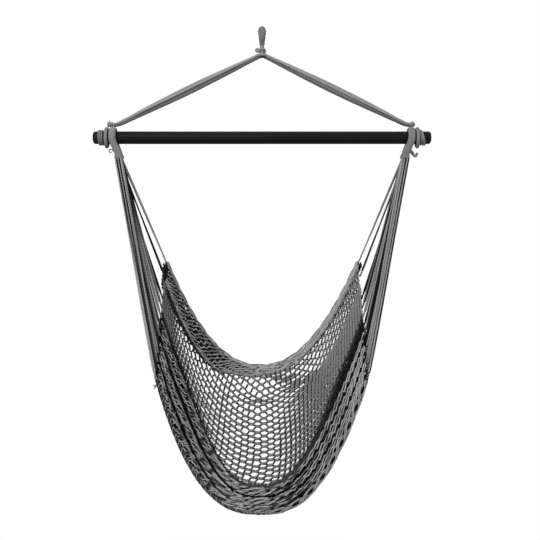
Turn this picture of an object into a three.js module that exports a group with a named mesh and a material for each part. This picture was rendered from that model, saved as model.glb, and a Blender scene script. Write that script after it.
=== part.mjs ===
// A hammock chair: a cord net seat slung from a round spreader bar, on a two-legged cord hanger.
// Lengths are in millimetres. +Z is up, +X runs along the bar and -Y is the side that the sitter faces.
// The origin is where a hook bears on the hanging eye.

import * as THREE from 'three';

// Driving dimensions of the bar
const BAR_LENGTH = 1016;
const BAR_DIAMETER = 38;
const BAR_END_ROUNDING = 8;
const BAR_DROP = 315;

// Clearance between pieces that touch
const TOUCH_GAP = 0.3;

// Hanging eye: a served loop in the plane across the bar
const EYE_CROWN = 20;
const EYE_SIDE = 12;
const EYE_WIDTH = 25;
const EYE_THROAT_WIDTH = 15;
const EYE_HOLE_WIDTH = 20;
const EYE_HOLE_HEIGHT = 25;
const EYE_DROP = 36;
const EYE_EDGE_ROUNDING = 3.2;

// Neck under the eye, which ends in a ball in the apex bight
const NECK_DIAMETER = 12.6;
const NECK_BALL_DIAMETER = 14.8;
const APEX_DROP = 47;

// Apex bight, where the strands are gathered, with its seizing and its tail
const BIGHT_WALL = 1;
const BIGHT_BALL_RADIUS = 25;
const BIGHT_FLARE_DIAMETER = 30;
const BIGHT_COLLAR_LENGTH = 15;
const SEIZING_CORD = 2.8;
const SEIZING_PITCH = 3.5;
const SEIZING_TURNS = 3;
const APEX_TAIL_CORD = 3.6;
const APEX_TAIL_LENGTH = 13;
const APEX_TAIL_REACH = 5;

// Legs of the hanger, four strands each
const LEG_APEX_DROP = 64.6;
const STRAND_DIAMETER = 5.8;
const STRAND_PITCH = 6.3;
const STRAND_SPREAD = 6.7;
const STRAND_LANDING_RISE = 2.6;
const STRAND_LANDING_RUN = 6;

// Served eyes round the bar and what lies beside them
const BAR_EYE_WALL = 12.6;
const SEAT_EYE_WIDTH = 22;
const SEAT_EYE_FROM_BAR_END = 60;
const HANGER_EYE_WIDTH = 11;
const EYE_SPACING = 2.6;
const BAR_EYE_ROUNDING = 4.5;
const KNOT_LENGTH = 20;
const KNOT_DIAMETER = 16.4;
const KNOT_FACE_DIAMETER = 14;
const LASHING_CORD = 4.3;
const LASHING_PITCH = 5.2;
const LASHING_TURNS = 3;

// Throat of the seat eye, where the suspension cords leave
const THROAT_DROP = 61;
const THROAT_LEAN = 18;
const THROAT_WIDTH = 29;
const THROAT_DEPTH = 23;
const THROAT_LENGTH = 16;
const SEAT_EYE_SLOT_DROP = 36;
const SEAT_TAIL_CORD = 4;
const SEAT_TAIL_LENGTH = 22;

// Suspension cords, one to each loop of the net's side edge
const CORD_DIAMETER = 4.6;
const CORD_COLUMN_PITCH = 8;
const CORD_ROW_PITCH = 5.3;
const CORD_COLUMNS = 3;
const CORD_EXIT_RUN = 5;
const HITCH_DIAMETER = 8.6;
const HITCH_LENGTH = 16;

// Net: where its four corners and the lowest points of its front and back edges hang
const SEAT_HALF_WIDTH = 301;
const FRONT_CORNER_DROP = 1027;
const FRONT_CORNER_Y = -150;
const BACK_CORNER_DROP = 688;
const BACK_CORNER_Y = 120;
const FRONT_EDGE_DROP = 1391;
const FRONT_EDGE_Y = -230;
const BACK_EDGE_DROP = 1027;
const BACK_EDGE_Y = 230;
const SEAT_SWAY = -7;
const NET_THICKNESS = 5;
const EDGE_CORD_DIAMETER = 7;

// Counts
const MESHES_ACROSS = 8;
const BAR_SIDES = 28;
const EYE_CURVE_STEPS = 10;
const EYE_SIDE_STEPS = 5;
const CORD_SIDES = 8;
const WINDING_SIDES = 6;
const WINDING_STEPS = 24;
const EDGE_CORD_STEPS = 22;
const STRAND_STEPS = 10;
const TURNED_SIDES = 16;
const TURNED_STEPS = 4;
const TAIL_STEPS = 8;

// Shapes as shares
const FRONT_CURVE_SHARE = 2.55;
const BACK_CURVE_SHARE = 2.2;
const ACROSS_SPACING_SHARE = 1.6;
const SEAT_SLOPE_SHARE = 0.55;
const JOINT_ALONG_SHARE = 0.05;
const JOINT_ACROSS_SHARE = 0.18;
const STRAND_ROUTE_SHARES = [0, 0.2, 0.5, 0.8, 1];
const APEX_TAIL_SHARES = [[0, 0.5], [0, 0.32], [1, 0], [0, -0.32], [0, -0.5]];
const SEAT_TAIL_SHARES = [[0, 0], [0.25, 0], [0.5, -0.16], [0.8, -0.5]];
const CORD_ROUTE_SHARES = [0.04, 0.3, 0.6, 0.85];
const CORD_LANDING_SHARES = [0, 0.07, 0.14, 0.21, 0.28, 0.35, 0.42, 0.5, 0.58, 0.66, 0.86, 1];
const GATHER_CURVE_SHARE = 1.5;
const NUDGE_SHARE = 0.002;
const EDGE_CORD_START_SHARE = 0.02;
const KNOT_SHOULDER_SHARE = 0.6;
const KNOT_WAIST_SHARE = 0.3;
const HITCH_SHARES = [[0, 0], [0.25, 1], [0.7, 1], [1, 0.1]];

const cordFinish = { color: 0x8e8e8e, roughness: 0.9, metalness: 0 };
const servedFinish = { color: 0x7f7f7f, roughness: 0.9, metalness: 0 };
const barFinish = { color: 0x212122, roughness: 0.8, metalness: 0 };

// Sizes that follow from the driving ones
const barRadius = BAR_DIAMETER / 2;
const eyeInnerRadius = (barRadius + TOUCH_GAP) / Math.cos(Math.PI / (2 * EYE_CURVE_STEPS));
const eyeOuterRadius = eyeInnerRadius + BAR_EYE_WALL;
const seatEyeX = BAR_LENGTH / 2 - SEAT_EYE_FROM_BAR_END;
const hangerEyeX = seatEyeX + SEAT_EYE_WIDTH / 2 + EYE_SPACING + HANGER_EYE_WIDTH / 2;
const barTopZ = eyeOuterRadius - BAR_DROP;
const neckBallRadius = NECK_BALL_DIAMETER / 2;
const bowlRadius = neckBallRadius + TOUCH_GAP;
const collarRadius = bowlRadius + BIGHT_WALL;
const throatZ = -BAR_DROP - THROAT_DROP;
const throatX = seatEyeX - THROAT_LEAN;
const loopsASide = CORD_LANDING_SHARES.length;
const netRows = 2 * (loopsASide - 1);

const { lerp, smoothstep } = THREE.MathUtils;

const chair = new THREE.Group();
const hanger = new THREE.Group();
const seat = new THREE.Group();
chair.add(hanger, seat);

function addPiece(group, name, geometry, finish) {
  const mesh = new THREE.Mesh(geometry, new THREE.MeshStandardMaterial(finish));
  mesh.name = name;
  group.add(mesh);
  return mesh;
}

// A round cord along a curve
function cordAlong(curve, diameter, steps, sides = CORD_SIDES) {
  const section = new THREE.Shape();
  for (let side = 0; side < sides; side++) {
    const turn = (side / sides) * 2 * Math.PI;
    const place = [Math.cos(turn) * diameter / 2, Math.sin(turn) * diameter / 2];
    if (side === 0) section.moveTo(...place);
    else section.lineTo(...place);
  }
  section.closePath();
  return new THREE.ExtrudeGeometry(section, { steps, bevelEnabled: false, extrudePath: curve });
}

// A piece turned about +Z from a profile of [radius, height] places
function turned(places, sides) {
  return new THREE.LatheGeometry(places.map((place) => new THREE.Vector2(...place)), sides)
    .rotateX(Math.PI / 2);
}

// The unbroken helix of a winding about +Z, from its top down
class Helix extends THREE.Curve {
  constructor(radius, pitch, turns) {
    super();
    this.radius = radius;
    this.pitch = pitch;
    this.turns = turns;
  }

  getPoint(share, target = new THREE.Vector3()) {
    const turn = share * this.turns * 2 * Math.PI;
    const drop = share * this.turns * this.pitch;
    return target.set(Math.cos(turn) * this.radius, Math.sin(turn) * this.radius, -drop);
  }
}

// The least gap between the loops of a winding, measured on points of its centre line
function leastGap(helix, cord) {
  const count = helix.turns * WINDING_STEPS;
  const points = helix.getPoints(count);
  let least = Infinity;
  for (let first = 0; first <= count; first++) {
    for (let second = first + WINDING_STEPS / 2; second <= count; second++) {
      least = Math.min(least, points[first].distanceTo(points[second]));
    }
  }
  return least - cord;
}

function winding(name, radius, pitch, turns, cord) {
  const helix = new Helix(radius, pitch, turns);
  console.log(`${name}: least gap between its loops ${leastGap(helix, cord).toFixed(2)} mm`);
  return cordAlong(helix, cord, turns * WINDING_STEPS, WINDING_SIDES);
}

// A served eye, drawn in its own plane: a round head that runs down into a throat, with its hole.
// The straight sides are divided, so that the eye can lean and flare.
function eyeOutline(outerRadius, throatHalfWidth, drop) {
  const reach = Math.hypot(throatHalfWidth, drop);
  const lean = Math.atan2(throatHalfWidth, drop);
  const touch = -Math.PI / 2 + lean + Math.acos(outerRadius / reach);
  const throat = new THREE.Vector2(throatHalfWidth, -drop);
  const shoulder = new THREE.Vector2(Math.cos(touch), Math.sin(touch)).multiplyScalar(outerRadius);
  const side = [];
  for (let step = 0; step <= EYE_SIDE_STEPS; step++) {
    side.push(throat.clone().lerp(shoulder, step / EYE_SIDE_STEPS));
  }
  const outline = new THREE.Shape(side);
  outline.absarc(0, 0, outerRadius, touch, Math.PI - touch, false);
  for (const place of side.reverse()) outline.lineTo(-place.x, place.y);
  outline.closePath();
  return outline;
}

// The hole's round top is centred below the head's centre by centreDrop
function slottedHole(radius, slotDrop, centreDrop = 0) {
  const touch = -Math.PI / 2 + Math.acos(radius / slotDrop);
  const hole = new THREE.Path();
  hole.moveTo(0, -slotDrop - centreDrop);
  hole.lineTo(Math.cos(touch) * radius, Math.sin(touch) * radius - centreDrop);
  hole.absarc(0, -centreDrop, radius, touch, Math.PI - touch, false);
  hole.closePath();
  return hole;
}

// The outline pulled through the eye's width with its edges rounded, standing in the plane across the bar
function servedEye(outline, width, rounding) {
  return new THREE.ExtrudeGeometry(outline, {
    depth: width - 2 * rounding,
    bevelThickness: rounding,
    bevelSize: rounding,
    bevelOffset: -rounding,
    bevelSegments: 2,
    curveSegments: EYE_CURVE_STEPS,
  })
    .translate(0, 0, rounding - width / 2)
    .rotateX(Math.PI / 2)
    .rotateZ(Math.PI / 2);
}

// Moves every place of a geometry by a rule
function reshape(geometry, rule) {
  const places = geometry.attributes.position;
  const place = new THREE.Vector3();
  for (let index = 0; index < places.count; index++) {
    place.fromBufferAttribute(places, index);
    rule(place);
    places.setXYZ(index, place.x, place.y, place.z);
  }
  geometry.computeVertexNormals();
  return geometry;
}

// Hanging eye: thick at its crown, and narrower toward the throat
const eyeHoleRadius = EYE_HOLE_WIDTH / 2;
const eyeHeadRadius = eyeHoleRadius + EYE_SIDE;
const eyeCentreZ = EYE_CROWN - eyeHeadRadius;
const hangingOutline = eyeOutline(eyeHeadRadius, EYE_THROAT_WIDTH / 2, EYE_DROP + eyeCentreZ);
hangingOutline.holes.push(
  slottedHole(eyeHoleRadius, EYE_HOLE_HEIGHT - eyeHoleRadius, eyeHoleRadius + eyeCentreZ));
const hangingEye = reshape(
  servedEye(hangingOutline, EYE_WIDTH, EYE_EDGE_ROUNDING),
  (place) => {
    const down = smoothstep(-place.z, 0, EYE_DROP + eyeCentreZ);
    place.x *= lerp(1, EYE_THROAT_WIDTH / EYE_WIDTH, down);
  },
);
addPiece(chair, 'hanging_eye', hangingEye, servedFinish).position.z = eyeCentreZ;

// Neck: a round rope from the eye's throat down to its ball
function neck() {
  const top = APEX_DROP - EYE_DROP - TOUCH_GAP;
  const radius = NECK_DIAMETER / 2;
  const places = [[0, top], [radius, top]];
  const start = Math.asin(radius / neckBallRadius);
  const steps = TURNED_STEPS;
  for (let step = 0; step <= steps; step++) {
    const turn = lerp(start, Math.PI, step / steps);
    const out = step === steps ? 0 : Math.sin(turn) * neckBallRadius;
    places.push([out, Math.cos(turn) * neckBallRadius]);
  }
  return turned(places.reverse(), TURNED_SIDES);
}
addPiece(chair, 'hanging_neck', neck(), servedFinish).position.z = -APEX_DROP;

// Apex bight: a collar with a bowl for the neck's ball, flaring to a round foot
function bight() {
  const flare = BIGHT_FLARE_DIAMETER / 2;
  const flareZ = -Math.sqrt(BIGHT_BALL_RADIUS ** 2 - flare ** 2);
  const footTurn = Math.asin(flare / BIGHT_BALL_RADIUS);
  const places = [];
  const steps = TURNED_STEPS;
  for (let step = 0; step <= steps; step++) {
    const turn = (step / steps) * Math.PI / 2;
    places.push([step === 0 ? 0 : Math.sin(turn) * bowlRadius, -Math.cos(turn) * bowlRadius]);
  }
  places.push([collarRadius, 0], [collarRadius, -BIGHT_COLLAR_LENGTH]);
  places.push([flare, flareZ]);
  for (let step = 1; step <= steps; step++) {
    const turn = footTurn * (1 - step / steps);
    places.push([step === steps ? 0 : Math.sin(turn) * BIGHT_BALL_RADIUS,
      -Math.cos(turn) * BIGHT_BALL_RADIUS]);
  }
  return turned(places.reverse(), TURNED_SIDES);
}
addPiece(chair, 'apex_bight', bight(), servedFinish).position.z = -APEX_DROP;

const seizingRadius = collarRadius + TOUCH_GAP + SEIZING_CORD / 2;
const seizing = winding('apex seizing', seizingRadius, SEIZING_PITCH, SEIZING_TURNS, SEIZING_CORD);
addPiece(chair, 'apex_seizing', seizing, servedFinish).position.z = -APEX_DROP - SEIZING_CORD / 2;

// Apex tail: a short end of the seizing cord, bent out and back against the bight's left side
const apexTailX = seizingRadius + SEIZING_CORD / 2 + TOUCH_GAP + APEX_TAIL_CORD / 2;
const apexTailCurve = new THREE.CatmullRomCurve3(APEX_TAIL_SHARES.map(
  ([out, up]) => new THREE.Vector3(-apexTailX - out * APEX_TAIL_REACH, 0, up * APEX_TAIL_LENGTH)));
addPiece(chair, 'apex_tail', cordAlong(apexTailCurve, APEX_TAIL_CORD, TAIL_STEPS), servedFinish)
  .position.z = -APEX_DROP - SEIZING_CORD / 2 - SEIZING_PITCH;

// Spreader bar: a dowel with rounded ends
function bar() {
  const half = BAR_LENGTH / 2;
  const places = [[0, -half]];
  const steps = TURNED_STEPS;
  for (let step = 0; step <= steps; step++) {
    const turn = (step / steps) * Math.PI / 2;
    places.push([
      barRadius - BAR_END_ROUNDING * (1 - Math.sin(turn)),
      BAR_END_ROUNDING * (1 - Math.cos(turn)) - half,
    ]);
  }
  const other = places.map(([radius, along]) => [radius, -along]).reverse();
  return turned([...places, ...other], BAR_SIDES).rotateY(Math.PI / 2);
}
addPiece(hanger, 'spreader_bar', bar(), barFinish).position.z = -BAR_DROP;

// Leg strands run from the bight's round foot over the seat eye to the hanger knot
const apex = new THREE.Vector3(0, 0, -APEX_DROP);
const landingZ = barTopZ + 2 * TOUCH_GAP + STRAND_PITCH / 2 + STRAND_DIAMETER / 2;
const knotX = hangerEyeX - KNOT_LENGTH / 2;
const strandPlaces = [
  { end: [-1, -1], middle: [-3, -1] },
  { end: [-1, 1], middle: [-1, 1] },
  { end: [1, -1], middle: [1, -1] },
  { end: [1, 1], middle: [3, 1] },
];

function strandCurve(side, { end, middle }) {
  const to = new THREE.Vector3(
    side * (seatEyeX - SEAT_EYE_WIDTH / 2 - STRAND_LANDING_RUN), 0, landingZ + STRAND_LANDING_RISE);
  const from = new THREE.Vector3(0, 0, -LEG_APEX_DROP);
  const along = to.clone().sub(from).normalize();
  const across = new THREE.Vector3(-along.z * side, 0, along.x * side);
  const offset = (share) => {
    const spread = Math.sin(Math.PI * share);
    const pitch = lerp(STRAND_PITCH, STRAND_SPREAD, spread) / 2;
    return new THREE.Vector3(0, pitch * lerp(end[1], middle[1], spread), 0)
      .addScaledVector(across, pitch * lerp(end[0], middle[0], spread));
  };
  const line = new THREE.Line3(from.clone().add(offset(0)), to.clone().add(offset(0)));
  const foot = line.closestPointToPoint(apex, false, new THREE.Vector3());
  const aside = foot.distanceTo(apex) - STRAND_DIAMETER / 2;
  const start = foot.addScaledVector(along, Math.sqrt((BIGHT_BALL_RADIUS + TOUCH_GAP) ** 2 - aside ** 2));
  const begin = start.clone().sub(offset(0));
  const points = STRAND_ROUTE_SHARES.map(
    (share) => begin.clone().lerp(to, share).add(offset(share)));
  for (const run of [STRAND_DIAMETER, 0]) {
    points.push(new THREE.Vector3(side * (knotX - KNOT_LENGTH / 2 - TOUCH_GAP - run),
      offset(1).y, landingZ + offset(1).dot(across)));
  }
  return new THREE.CatmullRomCurve3(points, false, 'centripetal');
}

// A knot laid along the bar, with a waist between its two wraps
function knot() {
  const half = KNOT_LENGTH / 2;
  const outer = KNOT_DIAMETER / 2;
  const face = KNOT_FACE_DIAMETER / 2;
  return turned([
    [0, -half], [face, -half], [outer, -half * KNOT_SHOULDER_SHARE], [outer, -half * KNOT_WAIST_SHARE],
    [face, 0], [outer, half * KNOT_WAIST_SHARE], [outer, half * KNOT_SHOULDER_SHARE], [face, half],
    [0, half],
  ], TURNED_SIDES).rotateY(Math.PI / 2);
}

// The hanger's ends on the bar, one side at a time
for (const [sideName, side] of [['left', -1], ['right', 1]]) {
  strandPlaces.forEach((places, index) => {
    addPiece(hanger, `${sideName}_leg_strand_${index + 1}`,
      cordAlong(strandCurve(side, places), STRAND_DIAMETER, STRAND_STEPS), cordFinish);
  });

  const outline = new THREE.Shape().absarc(0, 0, eyeOuterRadius, 0, 2 * Math.PI, false);
  outline.holes.push(new THREE.Path().absarc(0, 0, eyeInnerRadius, 0, 2 * Math.PI, false));
  const ring = servedEye(outline, HANGER_EYE_WIDTH, BAR_EYE_ROUNDING);
  addPiece(hanger, `${sideName}_hanger_eye`, ring, servedFinish)
    .position.set(side * hangerEyeX, 0, -BAR_DROP);

  addPiece(hanger, `${sideName}_hanger_knot`, knot(), cordFinish)
    .position.set(side * knotX, 0, barTopZ + TOUCH_GAP + KNOT_DIAMETER / 2);

  const lashing = winding(`${sideName} lashing`, barRadius + TOUCH_GAP + LASHING_CORD / 2,
    LASHING_PITCH, LASHING_TURNS, LASHING_CORD);
  const lashingX = hangerEyeX + HANGER_EYE_WIDTH / 2 + TOUCH_GAP + LASHING_CORD / 2;
  const lashingMesh = addPiece(hanger, `${sideName}_lashing`, lashing, cordFinish);
  lashingMesh.position.set(side * lashingX, 0, -BAR_DROP);
  lashingMesh.rotation.y = -side * Math.PI / 2;
}

// The net's surface: along runs 0 to 1 from front to back, across runs 0 to 1 from left to right
function netPoint(along, across) {
  const aside = Math.abs(2 * across - 1);
  const out = 1 - (1 - aside) ** ACROSS_SPACING_SHARE;
  const rise = out ** lerp(FRONT_CURVE_SHARE, BACK_CURVE_SHARE, along);
  const climb = SEAT_SLOPE_SHARE * along + (1 - SEAT_SLOPE_SHARE) * along ** 2;
  const bottomZ = lerp(-FRONT_EDGE_DROP, -BACK_EDGE_DROP, climb);
  const cornerZ = lerp(-FRONT_CORNER_DROP, -BACK_CORNER_DROP, along);
  return new THREE.Vector3(
    Math.sign(across - 0.5) * SEAT_HALF_WIDTH * out + SEAT_SWAY * (1 - rise),
    lerp(lerp(FRONT_EDGE_Y, BACK_EDGE_Y, along), lerp(FRONT_CORNER_Y, BACK_CORNER_Y, along), rise),
    lerp(bottomZ, cornerZ, rise),
  );
}

// Where a row of the net lies along the seat: even in the middle, and gathered toward the side edges
// to the places where the suspension cords land
function gathered(rowShare, across) {
  const loop = rowShare * (loopsASide - 1);
  const before = Math.min(Math.floor(loop), loopsASide - 2);
  const landing = lerp(CORD_LANDING_SHARES[before], CORD_LANDING_SHARES[before + 1], loop - before);
  return lerp(rowShare, landing, Math.abs(2 * across - 1) ** GATHER_CURVE_SHARE);
}

// How the surface runs at a point: toward the back, toward the right and out of its upper side
function netDirections(along, across) {
  const difference = (one, two) => two.sub(one).normalize();
  const back = difference(netPoint(Math.max(along - NUDGE_SHARE, 0), across),
    netPoint(Math.min(along + NUDGE_SHARE, 1), across));
  const right = difference(netPoint(along, Math.max(across - NUDGE_SHARE, 0)),
    netPoint(along, Math.min(across + NUDGE_SHARE, 1)));
  return { back, right, up: right.clone().cross(back).normalize() };
}

// The net as one closed lattice: flat joints, each with up to four strands to its neighbours
function net() {
  const rows = netRows;
  const columns = 2 * MESHES_ACROSS;
  const positions = [];
  const triangles = [];
  const joints = new Map();

  const vertexPair = (rowShare, across) => {
    const along = gathered(rowShare, across);
    const point = netPoint(along, across);
    const { up } = netDirections(along, across);
    const first = positions.length / 3;
    for (const side of [1, -1]) {
      const place = point.clone().addScaledVector(up, side * NET_THICKNESS / 2);
      positions.push(place.x, place.y, place.z);
    }
    return { top: first, bottom: first + 1 };
  };
  const face = (corners) => {
    for (let index = 2; index < corners.length; index++) {
      triangles.push(corners[0].top, corners[index - 1].top, corners[index].top);
      triangles.push(corners[0].bottom, corners[index].bottom, corners[index - 1].bottom);
    }
  };
  const wall = (from, to) => {
    triangles.push(from.bottom, to.bottom, to.top);
    triangles.push(from.bottom, to.top, from.top);
  };

  for (let row = 0; row <= rows; row++) {
    for (let column = row % 2; column <= columns; column += 2) {
      const rowShare = row / rows;
      const across = column / columns;
      const front = row === 0 ? null : vertexPair((row - JOINT_ALONG_SHARE) / rows, across);
      const back = row === rows ? null : vertexPair((row + JOINT_ALONG_SHARE) / rows, across);
      const left = column === 0 ? null : vertexPair(rowShare, (column - JOINT_ACROSS_SHARE) / columns);
      const right = column === columns ? null
        : vertexPair(rowShare, (column + JOINT_ACROSS_SHARE) / columns);
      const centre = front && back && left && right ? null : vertexPair(rowShare, across);
      joints.set(`${row},${column}`, {
        front: front ?? centre, right: right ?? centre, back: back ?? centre, left: left ?? centre,
      });
    }
  }

  const neighbour = (row, column) => joints.get(`${row},${column}`);
  for (const [key, joint] of joints) {
    const [row, column] = key.split(',').map(Number);
    const { front, right, back, left } = joint;
    face([front, right, back, left].filter((corner, index, all) => all.indexOf(corner) === index));
    const behindRight = neighbour(row + 1, column + 1);
    const behindLeft = neighbour(row + 1, column - 1);
    if (behindRight) {
      face([right, behindRight.front, behindRight.left, back]);
      wall(right, behindRight.front);
      wall(behindRight.left, back);
    } else if (right !== back) wall(right, back);
    if (behindLeft) {
      face([back, behindLeft.right, behindLeft.front, left]);
      wall(back, behindLeft.right);
      wall(behindLeft.front, left);
    } else if (back !== left) wall(back, left);
    if (!neighbour(row - 1, column + 1) && front !== right) wall(front, right);
    if (!neighbour(row - 1, column - 1) && left !== front) wall(left, front);
  }

  const geometry = new THREE.BufferGeometry();
  geometry.setAttribute('position', new THREE.Float32BufferAttribute(positions, 3));
  geometry.setIndex(triangles);
  geometry.computeVertexNormals();
  return geometry;
}
addPiece(seat, 'seat_net', net(), cordFinish);

// An edge cord lies along the outside of the net's front or back edge
function edgeCord(along, outward) {
  const clear = EDGE_CORD_DIAMETER / 2 + 3 * TOUCH_GAP;
  const points = [];
  for (let index = 0; index <= EDGE_CORD_STEPS; index++) {
    const share = index / EDGE_CORD_STEPS;
    const across = lerp(EDGE_CORD_START_SHARE, 1 - EDGE_CORD_START_SHARE, share);
    const { up, right } = netDirections(along, across);
    points.push(netPoint(along, across).addScaledVector(up.cross(right), outward * clear));
  }
  return cordAlong(new THREE.CatmullRomCurve3(points), EDGE_CORD_DIAMETER, EDGE_CORD_STEPS);
}
addPiece(seat, 'front_edge_cord', edgeCord(0, -1), cordFinish);
addPiece(seat, 'back_edge_cord', edgeCord(1, 1), cordFinish);

// A closed cord through rings of its own place and radius, none of them running along Y
function cordThrough(rings) {
  const positions = [];
  const triangles = [];
  const sideways = new THREE.Vector3(0, 1, 0);
  rings.forEach(({ point, radius }, index) => {
    const before = rings[Math.max(index - 1, 0)].point;
    const after = rings[Math.min(index + 1, rings.length - 1)].point;
    const along = after.clone().sub(before).normalize();
    const out = along.clone().cross(sideways).normalize();
    const aside = along.clone().cross(out);
    for (let side = 0; side < CORD_SIDES; side++) {
      const turn = (side / CORD_SIDES) * 2 * Math.PI;
      const place = point.clone().addScaledVector(out, Math.cos(turn) * radius)
        .addScaledVector(aside, Math.sin(turn) * radius);
      positions.push(place.x, place.y, place.z);
      if (index === 0) continue;
      const next = (side + 1) % CORD_SIDES;
      const here = index * CORD_SIDES;
      const last = here - CORD_SIDES;
      triangles.push(last + side, last + next, here + next, last + side, here + next, here + side);
    }
  });
  const end = (rings.length - 1) * CORD_SIDES;
  for (let side = 2; side < CORD_SIDES; side++) {
    triangles.push(0, side, side - 1, end, end + side - 1, end + side);
  }
  const geometry = new THREE.BufferGeometry();
  geometry.setAttribute('position', new THREE.Float32BufferAttribute(positions, 3));
  geometry.setIndex(triangles);
  geometry.computeVertexNormals();
  return geometry;
}

// A suspension cord from the throat to a loop of the net's side edge, swelling into its hitch
function suspensionCord(side, index) {
  const column = index % CORD_COLUMNS;
  const row = Math.floor(index / CORD_COLUMNS);
  const lastRow = loopsASide / CORD_COLUMNS - 1;
  const across = side < 0 ? 0 : 1;
  const loopShare = index / (loopsASide - 1);
  const along = gathered(loopShare, across);
  const outX = throatX + ((CORD_COLUMNS - 1) / 2 - column) * CORD_COLUMN_PITCH;
  const start = new THREE.Vector3(
    side * outX, (row - lastRow / 2) * CORD_ROW_PITCH, throatZ - TOUCH_GAP);
  const below = start.clone().setZ(start.z - CORD_EXIT_RUN);
  const outward = netDirections(along, across).right.multiplyScalar(side);
  const edge = netPoint(along, across);
  const jointAlong = gathered(Math.min(loopShare + JOINT_ALONG_SHARE / netRows, 1), across);
  const jointReach = netPoint(jointAlong, across).sub(edge).dot(outward);
  const end = edge.addScaledVector(outward, 2 * TOUCH_GAP + jointReach);
  const above = end.clone().addScaledVector(outward, HITCH_LENGTH);
  const route = new THREE.CatmullRomCurve3([below, above, end], false, 'centripetal');
  const radius = CORD_DIAMETER / 2;
  const rings = [{ point: start, radius }, { point: below, radius }];
  for (const share of CORD_ROUTE_SHARES) {
    rings.push({ point: route.getPoint(share / 2), radius });
  }
  for (const [share, swell] of HITCH_SHARES) {
    const point = above.clone().lerp(end, share);
    rings.push({ point, radius: lerp(radius, HITCH_DIAMETER / 2, swell) });
  }
  return cordThrough(rings);
}

// How far the seat eye has leaned inward, and how much wider it is, at a drop below the bar's axis
function throatForm(drop) {
  return {
    lean: THROAT_LEAN * smoothstep(drop, 0, THROAT_DROP),
    flare: lerp(1, THROAT_WIDTH / SEAT_EYE_WIDTH,
      smoothstep(drop, THROAT_DROP - THROAT_LENGTH, THROAT_DROP)),
  };
}

// The seat eye: a served loop round the bar that leans inward to its throat
function seatEye(side) {
  const outline = eyeOutline(eyeOuterRadius, THROAT_DEPTH / 2, THROAT_DROP);
  outline.holes.push(slottedHole(eyeInnerRadius, SEAT_EYE_SLOT_DROP));
  return reshape(servedEye(outline, SEAT_EYE_WIDTH, BAR_EYE_ROUNDING), (place) => {
    const { lean, flare } = throatForm(-place.z);
    place.x = place.x * flare - side * lean;
  });
}

// The seat's hanging ends, one side at a time
for (const [sideName, side] of [['left', -1], ['right', 1]]) {
  addPiece(seat, `${sideName}_seat_eye`, seatEye(side), servedFinish)
    .position.set(side * seatEyeX, 0, -BAR_DROP);

  const tailDrop = THROAT_DROP - THROAT_LENGTH;
  const face = throatForm(tailDrop - SEAT_TAIL_CORD);
  const tailX = seatEyeX - face.lean + face.flare * SEAT_EYE_WIDTH / 2 + 5 * TOUCH_GAP;
  const tail = new THREE.CatmullRomCurve3(SEAT_TAIL_SHARES.map(
    ([out, up]) => new THREE.Vector3(side * out * SEAT_TAIL_LENGTH, 0, up * SEAT_TAIL_LENGTH)));
  addPiece(seat, `${sideName}_seat_tail`, cordAlong(tail, SEAT_TAIL_CORD, TAIL_STEPS), servedFinish)
    .position.set(side * tailX, 0, -BAR_DROP - tailDrop);

  for (let index = 0; index < loopsASide; index++) {
    const name = `${sideName}_cord_${String(index + 1).padStart(2, '0')}`;
    addPiece(seat, name, suspensionCord(side, index), cordFinish);
  }
}

export default chair;
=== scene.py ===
"""Hammock chair: a cord net seat slung from both ends of a stained bar, hung from one served eye.

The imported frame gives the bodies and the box. Each operator makes one piece, or a group of like
pieces, from a grid of places worked out in numpy, in metres, where the solids of that piece are.
"""

import math
from functools import partial

import bpy
import numpy as np
from bpy.props import FloatProperty, FloatVectorProperty, IntProperty, PointerProperty
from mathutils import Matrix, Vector


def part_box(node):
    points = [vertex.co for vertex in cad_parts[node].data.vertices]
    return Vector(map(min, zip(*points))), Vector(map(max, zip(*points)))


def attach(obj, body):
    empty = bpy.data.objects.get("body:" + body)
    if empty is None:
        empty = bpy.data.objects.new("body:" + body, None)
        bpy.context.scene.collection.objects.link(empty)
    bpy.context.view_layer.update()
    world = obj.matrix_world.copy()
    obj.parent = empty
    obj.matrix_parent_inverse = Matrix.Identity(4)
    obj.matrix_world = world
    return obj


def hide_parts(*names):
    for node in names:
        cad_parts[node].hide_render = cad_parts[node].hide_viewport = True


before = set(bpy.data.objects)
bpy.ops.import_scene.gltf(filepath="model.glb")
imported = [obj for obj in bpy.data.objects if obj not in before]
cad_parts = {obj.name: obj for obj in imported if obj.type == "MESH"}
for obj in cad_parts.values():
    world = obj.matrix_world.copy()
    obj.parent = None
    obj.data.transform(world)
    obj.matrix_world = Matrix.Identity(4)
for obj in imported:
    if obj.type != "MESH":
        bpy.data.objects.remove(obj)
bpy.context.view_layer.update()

bl_info = {
    "name": "Hammock chair",
    "version": (1, 0, 0),
    "blender": (4, 5, 0),
    "location": "3D View > Sidebar > Hammock chair",
    "description": "Ropes, net, bar and stage of a hanging net chair",
    "category": "Add Mesh",
}

SIDES = (("left", -1), ("right", 1))
TURN = 2 * math.pi
RIGHTWARD, BACKWARD, UPWARD = (1, 0, 0), (0, 1, 0), (0, 0, 1)
NET_FACING = (0, -0.5, 0.86)
OVAL_POWER = 2.3
CORD_GLOSS = 0.05

# Laid ropes: sides of the tube, plies, pitch, and how deep the grooves between the plies are
LEG_LAY = (18, 3, 0.021, 0.2)
NECK_LAY = (28, 6, 0.05, 0.12)
BIGHT_LAY = (40, 8, 0.09, 0.16)
SEIZING_LAY = (10, 2, 0.009, 0.2)
TAIL_LAY = (12, 2, 0.012, 0.22)
LASHING_LAY = (12, 2, 0.014, 0.22)
KNOT_LAY = (24, 3, 0.016, 0.22)

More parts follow.
